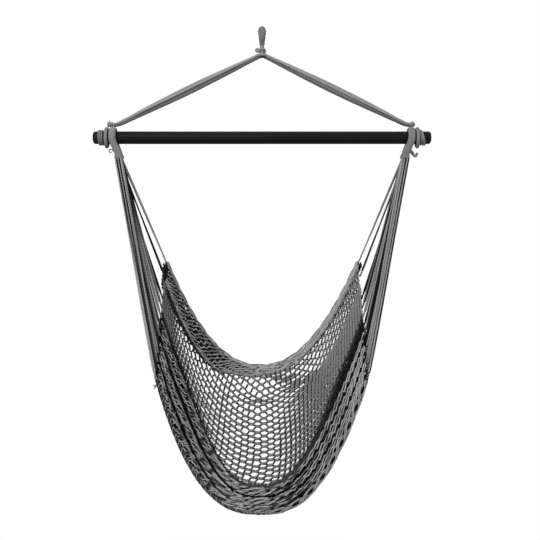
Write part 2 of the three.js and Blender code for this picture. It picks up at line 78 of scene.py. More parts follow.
# Hanging eye and neck
EYE_LOOP = ((0.0037, -0.036), (0.0062, -0.030), (0.0135, -0.018), (0.0158, -0.008), (0.0125, 0.0045))
EYE_CROWN = 0.0100
EYE_WIDTH_HEIGHTS = (-0.036, -0.025, -0.013, -0.004, -0.001, 0.001, 0.003, 0.006, 0.010)
EYE_WIDTHS = (0.0155, 0.0168, 0.0203, 0.0220, 0.0226, 0.0262, 0.0236, 0.0226, 0.0190)
EYE_FOOT_WALL, EYE_WALL, EYE_CROWN_WALL = 0.0075, 0.0115, 0.0078
# Painted shade: the whole hanging eye is painted darker
EYE_SHADE = 0.28
SERVED_SIDES = 28
EYE_RIDGE, SEAT_EYE_RIDGE = 0.0007, 0.0008
NECK_HEIGHTS = (-0.0352, -0.0475)
NECK_RADIUS, NECK_FLARE = 0.0064, 0.0009

# Apex
APEX_DROP = 0.047
COLLAR_RADIUS, BIGHT_RADIUS = 0.0087, 0.0158
# Painted shade: the bight is painted darker towards its bottom, where shade falls under it
BIGHT_HANG, BIGHT_SHADE = 0.003, 0.75
SEIZING_RADIUS = 0.0104
SEIZING_CORD = 0.0028
SEIZING_PITCH = 0.0035
SEIZING_TURNS = 3
SEIZING_RADIUS_SHARE = 0.56
APEX_TAIL_OUT, APEX_TAIL_DROP = 0.0139, 0.0519
APEX_TAIL_REACH, APEX_TAIL_LENGTH = 0.005, 0.013
APEX_TAIL_FOLD = ((0, 0.5), (0, 0.32), (1, 0), (0, -0.32), (0, -0.5))
APEX_TAIL_RADIUS = 0.0033

# Legs of the hanger. The four strands lie two by two at a leg's ends and are spread in between.
LEG_APEX_DROP = 0.0646
LEG_START_REACH = 0.0205
STRAND_PITCH = 0.0063
STRAND_SPREAD = 0.0067
LEG_FOOT_X = 0.431
LEG_FOOT_DROP = 0.27361
LEG_LANDING_X = 0.4468
LEG_LANDING_DROP = 0.27621
STRAND_PLACES = {1: ((-1, -1), (-3, -1)), 2: ((-1, 1), (-1, 1)), 3: ((1, -1), (1, -1)), 4: ((1, 1), (3, 1))}
# Painted shade of each strand, darkest on the lowest one, which the others keep the light from
STRAND_SHADES = (0.62, 0.1, 0.05, 0.15)
STRAND_RADIUS_SHARE = 0.76

# Spreader bar and what is tied to it
BAR_DROP = 0.315
BAR_HALF = 0.508
BAR_RADIUS = 0.019
BAR_END_ROUNDING = 0.008
BAR_END_RINGS = (0.6, 0.3, 0.05)
BAR_SIDES = 96
RUBBED_STAIN = (0.013, 0.0125, 0.012)
SEAT_EYE_X = 0.448
SEAT_EYE_WIDTH, SEAT_THROAT_WIDTH_SHARE = 0.022, 29 / 22
SEAT_EYE_WALL, SEAT_THROAT_WALL = 0.0126, 0.0113
SEAT_EYE_RADIUS, SEAT_EYE_FOOT = 0.02584, 0.00575
HANGER_EYE_X = 0.4671
HANGER_EYE_RADIUS = 0.02582
HANGER_EYE_WIDTH, HANGER_EYE_WALL = 0.011, 0.0123
HANGER_EYE_SIDES, HANGER_SERVING_PITCH = 20, 0.0027
KNOT_XS = {"left": 0.4571, "right": 0.4511}
KNOT_DROP = 0.27436
KNOT_LENGTH = 0.018
KNOT_RADIUS, KNOT_SWELL, KNOT_SINK = 0.0066, 0.0014, 0.001
# Painted shade: the knot is painted darker all over
KNOT_SHADE = 0.3
KNOT_FRAY, KNOT_ENDS, KNOT_SEED = 0.0115, 9, 3
LASHING_X = 0.47505
LASHING_RADIUS, LASHING_CORD_RADIUS = 0.02145, 0.0023
LASHING_PITCHES = {"left": 0.0052, "right": 0.0016}
LASHING_FANS = {"left": 0.0, "right": 0.0042}
LASHING_TURNS = 3
THROAT_X = 0.430
THROAT_LEAN = 0.018
THROAT_DROP = 0.061
TAIL_X, TAIL_DROP = 0.4460, 0.3560
TAIL_POINTS = {
    "left": ((0, 0), (0.005, 0.004), (0.0125, 0.0055), (0.0135, -0.002), (0.006, -0.003)),
    "right": ((0, 0.002), (0.007, -0.006), (0.0145, -0.0145), (0.0190, -0.0120), (0.0205, -0.0040)),
}
TAIL_RADII = {"left": (0.0022, 0.0016), "right": (0.0060, 0.0036)}

# Suspension cords
CORD_ROOT_DROP = 0.3763
CORD_COLUMN_PITCH = 0.008
CORD_ROW_PITCH = 0.0053
CORD_COLUMNS = 3
CORD_EXIT_RUN = 0.005
CORD_STEPS = 200
CORDS_A_SIDE = 12
HITCH_LENGTH = 0.016

# Each suspension cord is a pair: how far apart they lie, how thick each is, how they turn about each other,
# # and how dark each of the two is painted, as shade from the cords in front of it. The hitch's reaches are in
# # hitch lengths from the cord's end.
PAIR_HALF_GAP, PAIR_RADIUS = 0.0021, 0.0024
HITCH_HALF_GAP, HITCH_CORD_RADIUS = 0.0015, 0.0014
HITCH_TURNS = 2.5
HITCH_START, HITCH_GATHER, HITCH_WIND = 1.8, 1.7, 1.4
PAIR_TURN, PAIR_WAVE, PAIR_SHIFT = 0.8, 6, 2.4
FIRST_THIN_PAIR = 9
CORD_SHADES = {
    "left": (0, 0.1, 0, 0.1, 0.2, 0, 0.2, 0, 0.3, 0.95, 0.85, 0.1),
    "right": (0, 0.1, 0, 0.2, 0.97, 0, 0.9, 0, 0.5, 0.97, 0, 0.1),
}
PAIR_SHADES = {
    "left": (0.95, 0.97, 0.3, 0.98, 0.98, 0.95, 0.97, 0.3, 0.98, 0.98, 0.97, 0),
    "right": (0.95, 0.97, 0.3, 0.98, 0.98, 0.95, 0.97, 0.3, 0.98, 0.98, 0.9, 0),
}
# Painted shade of whole pairs low down on the left fan
LOW_LEFT_SHADES = (0, 0.9, 0, 0, 0.9, 0, 0.75, 0, 0.4, 0, 0, 0)

# Where the suspension cords reach the side edges, as shares from the front corner to the back corner
CORD_LANDINGS = (0, 0.07, 0.14, 0.21, 0.28, 0.35, 0.42, 0.50, 0.58, 0.66, 0.86, 1)

# The net's curved surface, from the front edge (along 0) to the back edge (along 1)
SEAT_HALF_WIDTH = 0.301
FRONT_CORNER_DROP, BACK_CORNER_DROP = 1.027, 0.688
FRONT_CORNER_Y, BACK_CORNER_Y = -0.150, 0.120
FRONT_EDGE_DROP, BACK_EDGE_DROP = 1.391, 1.027
FRONT_EDGE_Y, BACK_EDGE_Y = -0.230, 0.230
SEAT_SWAY = -0.007
ACROSS_SPACING_SHARE = 1.6
FRONT_CURVE_SHARE, BACK_CURVE_SHARE = 2.55, 2.2
SEAT_SLOPE_SHARE = 0.55

# How many cords the net's folds, meshes and rolls have
FOLD_CORDS = 15
CORE_CORDS = 9
SHADE_CORDS = 6
OPEN_CORDS = 38
BACK_CORDS = 12
ROLL_CORDS = 18
UNDER_CORDS = 34
LINING_CORDS = 12
LOWER_CORDS = 22
ROW_PLACES = 200

# Where the folds and the rolls lie along the seat, how wide they are and how often they turn
FOLD_MIDDLE_PLACES = (0.034, 0.103, 0.184)
FOLD_LEFT_PLACES = (0.064, 0.238, 0.420)
FOLD_RIGHT_PLACES = (0.062, 0.190, 0.318)
FOLD_MIDDLE_HALF, FOLD_RIGHT_HALF = 0.031, 0.064
FOLD_LEFT_HALVES = (0.054, 0.045, 0.054)
FOLD_RADII = {"middle": 0.006, "left": 0.0095, "right": 0.0045}
FOLD_ENDS = {"middle": 0.214, "left": 0.478, "right": 0.388}
OPEN_STARTS = {"middle": 0.240, "left": 0.532, "right": 0.475}
FOLD_TURNS, FOLD_TWISTED_SHARE = 3, 0.56
FOLD_DEPTH, FOLD_NEAREST = 0.0035, 0.018
ROLL_TURNS, ROLL_TWISTED_SHARE = 1.7, 0.55
ROLL_STATIONS = (0, 0.2, 0.3, 0.35, 0.4, 0.5)
ROLL_WIDTHS = (0.18, 0.17, 0.15, 0.125, 0.08, 0.045)
LINING_STATIONS = (0, 0.08, 0.16, 0.3, 0.35, 0.4, 0.5, 1)
LINING_WIDTHS = (0.21, 0.205, 0.165, 0.14, 0.11, 0.06, 0.02, 0.03)
BACK_CROWD = 0.9
HIDDEN_SHARE = 0.20
BUNCH_ALONG, BUNCH_ACROSS, BUNCH_REACH = 0.80, 0.49, 0.05

# How the net's cords are clasped, how far they stray, how much painted shade the free stretches and the clasps take,
# and how much some strokes are dimmed at random
FOLDED_MESHES_SHARE = 1.4
PLACES_A_MESH = 20
CLASP_SHARE, FOLD_CLASP_SHARE = 0.30, 0.07
CLASP_RADIUS_SHARE, LEFT_CLASP_SHARE = 0.52, 0.35
ACROSS_JOG, ALONG_JOG, FOLD_ALONG_JOG = 0.0022, 0.2, 0.13
FOLD_LEFT_PULL, FOLD_RIGHT_PULL, FOLD_RIGHT_LIFT = 0.30, 1.5, 0.2
OPEN_SHADE, CLASP_SHADE = 0.955, 0.48
STROKE_STATIONS = (0.2, 0.45, 0.6, 0.8)
STROKE_DIMS = (0.85, 0.95, 0.9, 0.4)
NET_SEED = 7

# Edge cords. The front one is twisted close on the left and lies in loops on the right.
EDGE_STRANDS, EDGE_CORD_RADIUS, EDGE_SIDES = 5, 0.0019, 7
EDGE_SPAN, EDGE_PLACES = (0.015, 0.985), 1400
EDGE_WAVES = {"front": 19, "back": 17}
EDGE_SWINGS = (0.0013, 0.0042)
EDGE_OUTS, EDGE_RIGHT_OUT = (0.0005, 0.0020), 0.0045
EDGE_LIFT, EDGE_CORE_LIFT = 0.0035, -0.0005
EDGE_LOOP_LIFT, EDGE_LOOP_SWING, EDGE_LOOP_SHIFT = 0.0070, 0.0075, 0.56
EDGE_ROUND = 0.0022
# Painted shade of the five edge strands on the front's left, dark and light by turns; none on the right or at the
# back
EDGE_SHADES = (0.1, 0.9, 0.3, 0.95, 0.6)
EDGE_LEFT_TWIST = 4
CORNER_SHIFT = (-0.003, 0, -0.018)
CORNER_FRAY, CORNER_ENDS = 0.0075, 6

# Camera and stage
CAMERA_PLACE, CAMERA_LENS, CAMERA_SENSOR = (0.024, -3.0, -0.713), 66.46, 36
LAMPS = (
    ("key", (-1.6, -2.6, 1.2), 1.92, 150),
    ("fill", (2.4, -2.0, -0.2), 2.7, 40),
    ("rim", (0.3, 2.4, 1.6), 2.24, 30),
)
LAMP_TARGET = (0, 0, -0.8)
WHITE, AMBIENT = (1, 1, 1, 1), 0.35
FLOOR_DROP, FLOOR_RADIUS, FLOOR_RIM_BEND = 1.80, 1.15, 0.03
FLOOR_RINGS, FLOOR_SIDES = 24, 96
FLOOR_FADE = (0.35, 0.97)


def length(name, description, default):
    """A length that a user would change."""
    return FloatProperty(name=name, description=description, default=default, unit="LENGTH")


def shade_of(name, description, default):
    """A colour that a user would change."""
    return FloatVectorProperty(name=name, description=description, default=default, subtype="COLOR")


class HammockSizes(bpy.types.PropertyGroup):
    """Sizes of the cords that a user would change."""

    net_cord: length("Net cord", "Thickness of the net's cord", 0.0047)
    net_meshes: IntProperty(
        name="Meshes across", description="Meshes between the net's side edges", default=28, min=4)
    leg_strand: length("Leg strand", "Thickness of a hanger strand", 0.0058)
    hanging_cord: length("Hanging cord", "Width of a suspension cord", 0.0046)
    serving_pitch: length("Serving pitch", "Pitch of the thin cord round an eye", 0.0045)


class HammockColours(bpy.types.PropertyGroup):
    """Colours of the cord, the serving, the bar and the floor."""

    cord: shade_of("Cord", "Grey of the cord", (0.27, 0.27, 0.272))
    net: shade_of("Net", "Grey of the net's cord, which the light has bleached", (0.42, 0.42, 0.422))
    # The near-black grey of the grooves between the plies is painted shade in the creases
    groove: shade_of("Groove", "Grey between its plies", (0.035, 0.035, 0.036))
    serving: shade_of("Serving", "Grey of the served eyes", (0.19, 0.19, 0.19))
    stain: shade_of("Stain", "Black stain of the bar", (0.005, 0.005, 0.0052))
    floor: shade_of("Floor", "Pale floor", (0.82, 0.82, 0.82))


def mix(start, end, share):
    """start + (end - start) * share."""
    return start + (end - start) * share


def smooth(low, high, value):
    """0 below low, 1 above high, and 3t^2 - 2t^3 of the share t between them."""
    share = np.clip((value - low) / (high - low), 0, 1)
    return share * share * (3 - 2 * share)


def unit(arrows):
    """Each arrow divided by its length."""
    return arrows / np.maximum(np.linalg.norm(arrows, axis=-1, keepdims=True), 1e-12)


def through(points, steps):
    """A smooth line through points: each span is a cubic, and its slope at a point comes from the spans
    on both sides, each weighted by the square root of its length."""
    points = np.asarray(points, float)
    first = 2 * points[..., :1, :] - points[..., 1:2, :]
    last = 2 * points[..., -1:, :] - points[..., -2:-1, :]
    q = np.concatenate([first, points, last], -2)
    gap = np.sqrt(np.maximum(np.linalg.norm(np.diff(q, axis=-2), axis=-1, keepdims=True), 1e-9))
    before, here, after = gap[..., :-2, :], gap[..., 1:-1, :], gap[..., 2:, :]
    a, b, c, d = q[..., :-3, :], q[..., 1:-2, :], q[..., 2:-1, :], q[..., 3:, :]
    leave = ((b - a) / before - (c - a) / (before + here) + (c - b) / here) * here
    arrive = ((c - b) / here - (d - b) / (here + after) + (d - c) / after) * here
    t = (np.arange(steps) / steps)[:, None]
    b, c, leave, arrive = (x[..., None, :] for x in (b, c, leave, arrive))
    spans = b + leave * t + (3 * (c - b) - 2 * leave - arrive) * t**2 + (2 * (b - c) + leave + arrive) * t**3
    return np.concatenate([spans.reshape(*spans.shape[:-3], -1, 3), points[..., -1:, :]], -2)


def run(line):
    """Distance along a line at each of its places."""
    step = np.linalg.norm(np.diff(line, axis=-2), axis=-1)
    return np.concatenate([np.zeros_like(step[..., :1]), np.cumsum(step, -1)], -1)


def placed(line, wanted):
    """Places on the line at the wanted distances."""
    distance = run(line)
    return np.stack([np.interp(wanted, distance, line[:, axis]) for axis in range(3)], -1)


def evened(line, count):
    """The same line, with count places at equal distances."""
    return placed(line, np.linspace(0, run(line)[-1], count))


def upright(heights):
    """A line of places at these heights, straight under the hook."""
    return np.stack([np.zeros_like(heights), np.zeros_like(heights), heights], -1)


def across_line(line, facing):
    """At each place of a line, an arrow square to it and to facing, and one square to it towards facing."""
    tangent = unit(np.gradient(line, axis=-2))
    aside = unit(np.cross(np.broadcast_to(facing, line.shape), tangent))
    return aside, np.cross(tangent, aside)


def rings_round(line, reach, facing):
    """Rings round a line: place + reach(angle) * (aside * cos angle + up * sin angle), where aside and up are
    square to the line."""
    aside, up = across_line(line, facing)
    angle = TURN * np.arange(reach.shape[-1]) / reach.shape[-1]
    spoke = aside[..., None, :] * np.cos(angle)[:, None] + up[..., None, :] * np.sin(angle)[:, None]
    return line[..., None, :] + reach[..., None] * spoke


def laid(distance, radius, lay):
    """Reach of a laid rope: radius * (1 - depth + depth * |cos(plies * (angle - turn) / 2)|), where the turn
    is one round for each pitch of distance."""
    sides, plies, pitch, depth = lay
    angle = TURN * np.arange(sides) / sides
    turn = TURN * distance[..., None] / pitch
    crest = np.abs(np.cos(plies * (angle - turn) / 2))
    return np.asarray(radius)[..., None] * (1 - depth + depth * crest)


def served(distance, sides, width, height, pitch, ridge):
    """Reach of a served bundle: (|cos / (height / 2)|^2.3 + |sin / (width / 2)|^2.3)^(-1 / 2.3), an oval
    with flattened sides, plus ridge * (|cos| - 1) of the thin cord that winds round it once for each pitch of
    distance."""
    angle = TURN * np.arange(sides) / sides
    flat = (np.abs(np.cos(angle) / (np.asarray(height)[..., None] / 2)) ** OVAL_POWER
            + np.abs(np.sin(angle) / (np.asarray(width)[..., None] / 2)) ** OVAL_POWER) ** (-1 / OVAL_POWER)
    wind = np.abs(np.cos(math.pi * distance[..., None] / pitch - angle / 2))
    return flat + ridge * (wind - 1)


def grid_mesh(name, rings, distance, shade=0.0):
    """One mesh of closed tubes from rings (tubes, places, sides, 3): a quad between neighbours, one face on
    each end. Its UV map holds the distance along and the share of a turn round, and its painted shade attribute
    is one value for all, for each place, or for each place and side."""
    rings = rings.reshape(-1, *rings.shape[-3:])
    tubes, places, sides = rings.shape[:3]
    distance = np.broadcast_to(distance, (tubes, places))
    index = np.arange(tubes * places * sides).reshape(tubes, places, sides)
    around = np.roll(index, -1, axis=2)
    quads = np.stack([index[:, :-1], around[:, :-1], around[:, 1:], index[:, 1:]], -1).reshape(-1, 4)
    ends = np.concatenate([index[:, 0, ::-1], index[:, -1]])
    turn = np.broadcast_to(np.arange(sides) / sides, index.shape)
    next_turn = turn + 1 / sides
    far = np.broadcast_to(distance[..., None], index.shape)
    uv = np.stack([
        np.stack([far[:, :-1], far[:, :-1], far[:, 1:], far[:, 1:]], -1),
        np.stack([turn[:, :-1], next_turn[:, :-1], next_turn[:, 1:], turn[:, 1:]], -1),
    ], -1).reshape(-1, 2)
    end_far, end_turn = (np.concatenate(pair) for pair in ((far[:, 0], far[:, -1]), (turn[:, 0, ::-1], turn[:, -1])))
    end_uv = np.stack([end_far, end_turn], -1).reshape(-1, 2)
    mesh = bpy.data.meshes.new(name)
    mesh.vertices.add(index.size)
    mesh.vertices.foreach_set("co", rings.astype(np.float32).ravel())
    corners = np.concatenate([quads.ravel(), ends.ravel()]).astype(np.int32)
    starts = np.concatenate([np.arange(len(quads)) * 4, len(quads) * 4 + np.arange(len(ends)) * sides])
    mesh.loops.add(len(corners))
    mesh.loops.foreach_set("vertex_index", corners)
    mesh.polygons.add(len(starts))
    mesh.polygons.foreach_set("loop_start", starts.astype(np.int32))
    mesh.uv_layers.new(name="UVMap").data.foreach_set("uv", np.concatenate([uv, end_uv]).astype(np.float32).ravel())
    shade = np.asarray(shade, float)
    shade = np.broadcast_to(shade if shade.ndim > 2 else shade[..., None], index.shape)
    mesh.attributes.new("shade", "FLOAT", "POINT").data.foreach_set("value", shade.astype(np.float32).ravel())
    mesh.update(calc_edges=True)
    mesh.polygons.foreach_set("use_smooth", np.ones(len(starts), bool))
    mesh.validate()
    return mesh


def tube(name, line, reach, facing, shade=0.0):
    """The mesh of a tube round a line."""
    return grid_mesh(name, rings_round(line, reach, facing), run(line), shade)


def rope(name, line, radius, lay, facing=BACKWARD, shade=0.0):
    """The mesh of a laid rope along a line."""
    return tube(name, line, laid(run(line), radius, lay), facing, shade)


def front_shade(shade, line, rings):
    """The painted shade of each place spread over its ring: all of it on the ring's front, none behind, as the
    folds keep the light off the front and it comes in behind."""
    spoke = unit(line[..., None, :] - rings)
    return np.asarray(shade)[..., None] * smooth(-0.75, -0.2, spoke[..., 1])


def place_piece(mesh, body, finish, node):
    """Puts a mesh in the scene, on its body, in its finish, in place of its CAD node."""
    piece = bpy.data.objects.new(mesh.name, mesh)
    bpy.context.scene.collection.objects.link(piece)
    mesh.materials.append(finish)
    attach(piece, body)
    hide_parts(node)
    return piece


def net_place(along, across):
    """A place on the seat's surface. Across runs from the left edge to the right, and out of its middle
    out = 1 - (1 - aside)^1.6. The surface rises from its bottom line to its side edges as out^p, with p from
    2.55 in front to 2.2 at the back, and the bottom line climbs from the front edge to the back edge."""
    aside = np.abs(2 * across - 1)
    out = 1 - (1 - aside) ** ACROSS_SPACING_SHARE
    rise = out ** mix(FRONT_CURVE_SHARE, BACK_CURVE_SHARE, along)
    climb = SEAT_SLOPE_SHARE * along + (1 - SEAT_SLOPE_SHARE) * along**2
    bottom = mix(-FRONT_EDGE_DROP, -BACK_EDGE_DROP, climb)
    corner = mix(-FRONT_CORNER_DROP, -BACK_CORNER_DROP, along)
    return np.stack([
        np.sign(across - 0.5) * SEAT_HALF_WIDTH * out + SEAT_SWAY * (1 - rise),
        mix(mix(FRONT_EDGE_Y, BACK_EDGE_Y, along), mix(FRONT_CORNER_Y, BACK_CORNER_Y, along), rise),
        mix(bottom, corner, rise),
    ], -1)


def net_directions(along, across):
    """Directions on the seat's surface: to the back, to the right, and up, square to both."""
    nudge = 0.002
    back = unit(net_place(np.clip(along + nudge, 0, 1), across) - net_place(np.clip(along - nudge, 0, 1), across))
    right = unit(net_place(along, np.clip(across + nudge, 0, 1)) - net_place(along, np.clip(across - nudge, 0, 1)))
    return back, right, unit(np.cross(right, back))


def fill(tree, socket, value):
    """Links a socket where value is another socket, and sets it to value elsewhere."""
    if isinstance(value, bpy.types.NodeSocket):
        tree.links.new(value, socket)
    else:
        socket.default_value = value


def add_node(tree, kind, inputs=None, **settings):
    """A shader node with its settings, and its inputs linked or set, by name or by number."""
    node = tree.nodes.new("ShaderNode" + kind)
    for name, value in settings.items():
        setattr(node, name, value)
    for key, value in (inputs or {}).items():
        fill(tree, node.inputs[key], value)
    return node


def math_node(tree, operation, *values):
    """What a Math node puts out."""
    return add_node(tree, "Math", dict(enumerate(values)), operation=operation).outputs[0]


def noise_node(tree, vector, scale, detail, distortion=0.0):
    """What a Noise Texture node puts out."""
    inputs = {"Vector": vector, "Scale": scale, "Detail": detail, "Distortion": distortion}
    return add_node(tree, "TexNoise", inputs).outputs[0]


def colour_mix(tree, share, low, high):
    """What a Mix node between two colours puts out."""
    return add_node(tree, "Mix", {0: share, 6: low, 7: high}, data_type="RGBA").outputs[2]


def finish_group(name, inputs):
    """A node group with these inputs and the outputs that a finish needs, and the sockets of its ends."""
    group = bpy.data.node_groups.new(name, "ShaderNodeTree")
    for socket, value in inputs.items():
        kind = "NodeSocketColor" if isinstance(value, tuple) else "NodeSocketFloat"
        group.interface.new_socket(name=socket, in_out="INPUT", socket_type=kind).default_value = value
    for socket, kind in (("Colour", "Color"), ("Height", "Float"), ("Roughness", "Float")):
        group.interface.new_socket(name=socket, in_out="OUTPUT", socket_type="NodeSocket" + kind)
    return group, group.nodes.new("NodeGroupInput").outputs, group.nodes.new("NodeGroupOutput").inputs


def rope_group():
    """Plies and fibres of a twisted cord, from its UV map: ply = |cos(pi * (plies * turn + distance * lay))|,
    with the grooves between the plies painted dark as shade, fine fibres that run with the twist, weathering in
    patches, and painted shade: darker cord where the shade attribute is high."""
    group, enter, leave = finish_group("rope_group", {
        "Fibre": (0.3, 0.3, 0.3, 1), "Groove": (0.04, 0.04, 0.04, 1), "Plies": 3.0, "Lay": 90.0,
        "Groove depth": 0.6, "Shade depth": 1.0})
    times, plus, minus = (partial(math_node, group, operation) for operation in ("MULTIPLY", "ADD", "SUBTRACT"))
    uv = add_node(group, "UVMap", uv_map="UVMap").outputs[0]
    distance, turn, _ = add_node(group, "SeparateXYZ", {0: uv}).outputs
    phase = plus(times(turn, enter["Plies"]), times(distance, enter["Lay"]))
    ply = math_node(group, "ABSOLUTE", math_node(group, "COSINE", times(phase, math.pi)))
    crest = math_node(group, "POWER", ply, 0.7)
    twisted = add_node(group, "CombineXYZ", {0: times(phase, 7.0), 1: times(distance, 160.0)}).outputs[0]
    fibre = noise_node(group, twisted, 1.0, 3.0)
    patch = noise_node(group, add_node(group, "TexCoord").outputs["Object"], 14.0, 4.0)
    # Painted shade: the cord is darker in the grooves between its plies
    groove = times(minus(1.0, crest), enter["Groove depth"])
    tone = plus(0.62, plus(times(patch, 0.34), times(fibre, 0.42)))
    # Painted shade from the mesh's shade attribute darkens the cord
    shade = add_node(group, "Attribute", attribute_name="shade").outputs["Fac"]
    lit = minus(1.0, times(shade, enter["Shade depth"]))
    colour = colour_mix(group, groove, enter["Fibre"], enter["Groove"])
    toned = add_node(group, "VectorMath", {0: colour, "Scale": times(tone, lit)}, operation="SCALE").outputs[0]
    fill(group, leave["Colour"], toned)
    fill(group, leave["Height"], plus(times(crest, 0.8), times(fibre, 0.35)))
    fill(group, leave["Roughness"], plus(0.78, times(fibre, 0.2)))
    return group


def grain_group():
    """Wood grain along X: noise stretched forty times along the bar, and a thinner stain in rubbed patches."""
    group, enter, leave = finish_group("grain_group", {
        "Stain": (0.015, 0.015, 0.015, 1), "Rubbed": (0.05, 0.045, 0.04, 1)})
    where = add_node(group, "TexCoord").outputs["Object"]
    stretched = add_node(group, "Mapping", {"Vector": where, "Scale": (9, 380, 380)}).outputs[0]
    grain = noise_node(group, stretched, 1.0, 5.0, 0.6)
    rubbed = math_node(group, "GREATER_THAN", noise_node(group, where, 26.0, 4.0), 0.66)
    share = math_node(group, "MAXIMUM", math_node(group, "MULTIPLY", rubbed, 0.25),
                      math_node(group, "MULTIPLY", grain, 0.30))
    fill(group, leave["Colour"], colour_mix(group, share, enter["Stain"], enter["Rubbed"]))
    fill(group, leave["Height"], grain)
    fill(group, leave["Roughness"], math_node(group, "ADD", 0.38, math_node(group, "MULTIPLY", grain, 0.3)))
    return group


def new_material(name):
    """A material, with its tree and the inputs of its shader."""
    material = bpy.data.materials.new(name)
    material.use_nodes = True
    return material, material.node_tree, material.node_tree.nodes["Principled BSDF"].inputs


def finish_of(name, group, values, strength, distance):
    """A material from one group: its colour and roughness, and its height through a Bump node."""
    if name in bpy.data.materials:
        return bpy.data.materials[name]
    material, tree, shader = new_material(name)
    made = add_node(tree, "Group", values, node_tree=bpy.data.node_groups.get(group.__name__) or group()).outputs
    bump = add_node(tree, "Bump", {"Strength": strength, "Distance": distance, "Height": made["Height"]}).outputs[0]
    fill(tree, shader["Base Color"], made["Colour"])
    fill(tree, shader["Roughness"], made["Roughness"])
    fill(tree, shader["Normal"], bump)
    fill(tree, shader["Specular IOR Level"], CORD_GLOSS)
    return material


def opaque(colour):
    """A colour with its fourth number."""
    return (*colour, 1.0)


def cord_finish(colours, plies=2.0, lay=110.0, name="grey_cord", fibre=None):
    """Grey twisted cord."""
    values = {"Fibre": opaque(fibre or colours.cord), "Groove": opaque(colours.groove), "Plies": plies, "Lay": lay}
    return finish_of(name, rope_group, values, 0.7, 0.0006)


def leg_finish(colours):
    """The hanger's thicker rope."""
    _, plies, pitch, _ = LEG_LAY
    return cord_finish(colours, float(plies), -plies / pitch, "leg_rope")


def serving_finish(colours):
    """Darker thin cord, wound close."""
    values = {"Fibre": opaque(colours.serving), "Groove": opaque(colours.groove), "Plies": 1.0, "Lay": -222.0}
    return finish_of("wound_serving", rope_group, values, 0.6, 0.0005)


def frayed_ends(name, centre, reach, count, seed):
    """Frayed ends: short cords that leave a knot's middle all round, thinner towards their tips, each bent on
    its way as share^2, and painted a little darker as shade."""
    random = np.random.default_rng(seed)
    turn = TURN * (np.arange(count) + random.uniform(-0.3, 0.3, count)) / count
    way = unit(np.stack([np.cos(turn), random.uniform(-0.5, 0.3, count), np.sin(turn)], -1))
    bend = random.normal(0, 0.22, (count, 3))
    share = np.linspace(0, 1, 10)[None, :, None]
    span = reach * random.uniform(0.7, 1.0, count)[:, None, None]
    line = np.asarray(centre) + span * (way[:, None] * share + bend[:, None] * share**2)
    radius = mix(0.0023, 0.0010, share) * np.ones((count, 1, 8))
    return tube(name, line, radius, BACKWARD, 0.2)


class HAMMOCK_OT_camera(bpy.types.Operator):
    """Sets the camera at the photograph's view"""

    bl_idname = "hammock.camera"
    bl_label = "Photo camera"

    def execute(self, context):
        camera = bpy.data.objects.new("photo_camera", bpy.data.cameras.new("photo_camera"))
        camera.location = CAMERA_PLACE
        camera.rotation_euler = (math.pi / 2, 0, 0)
        camera.data.lens = CAMERA_LENS
        camera.data.sensor_width = CAMERA_SENSOR
        context.scene.collection.objects.link(camera)
        context.scene.camera = camera
        return {"FINISHED"}


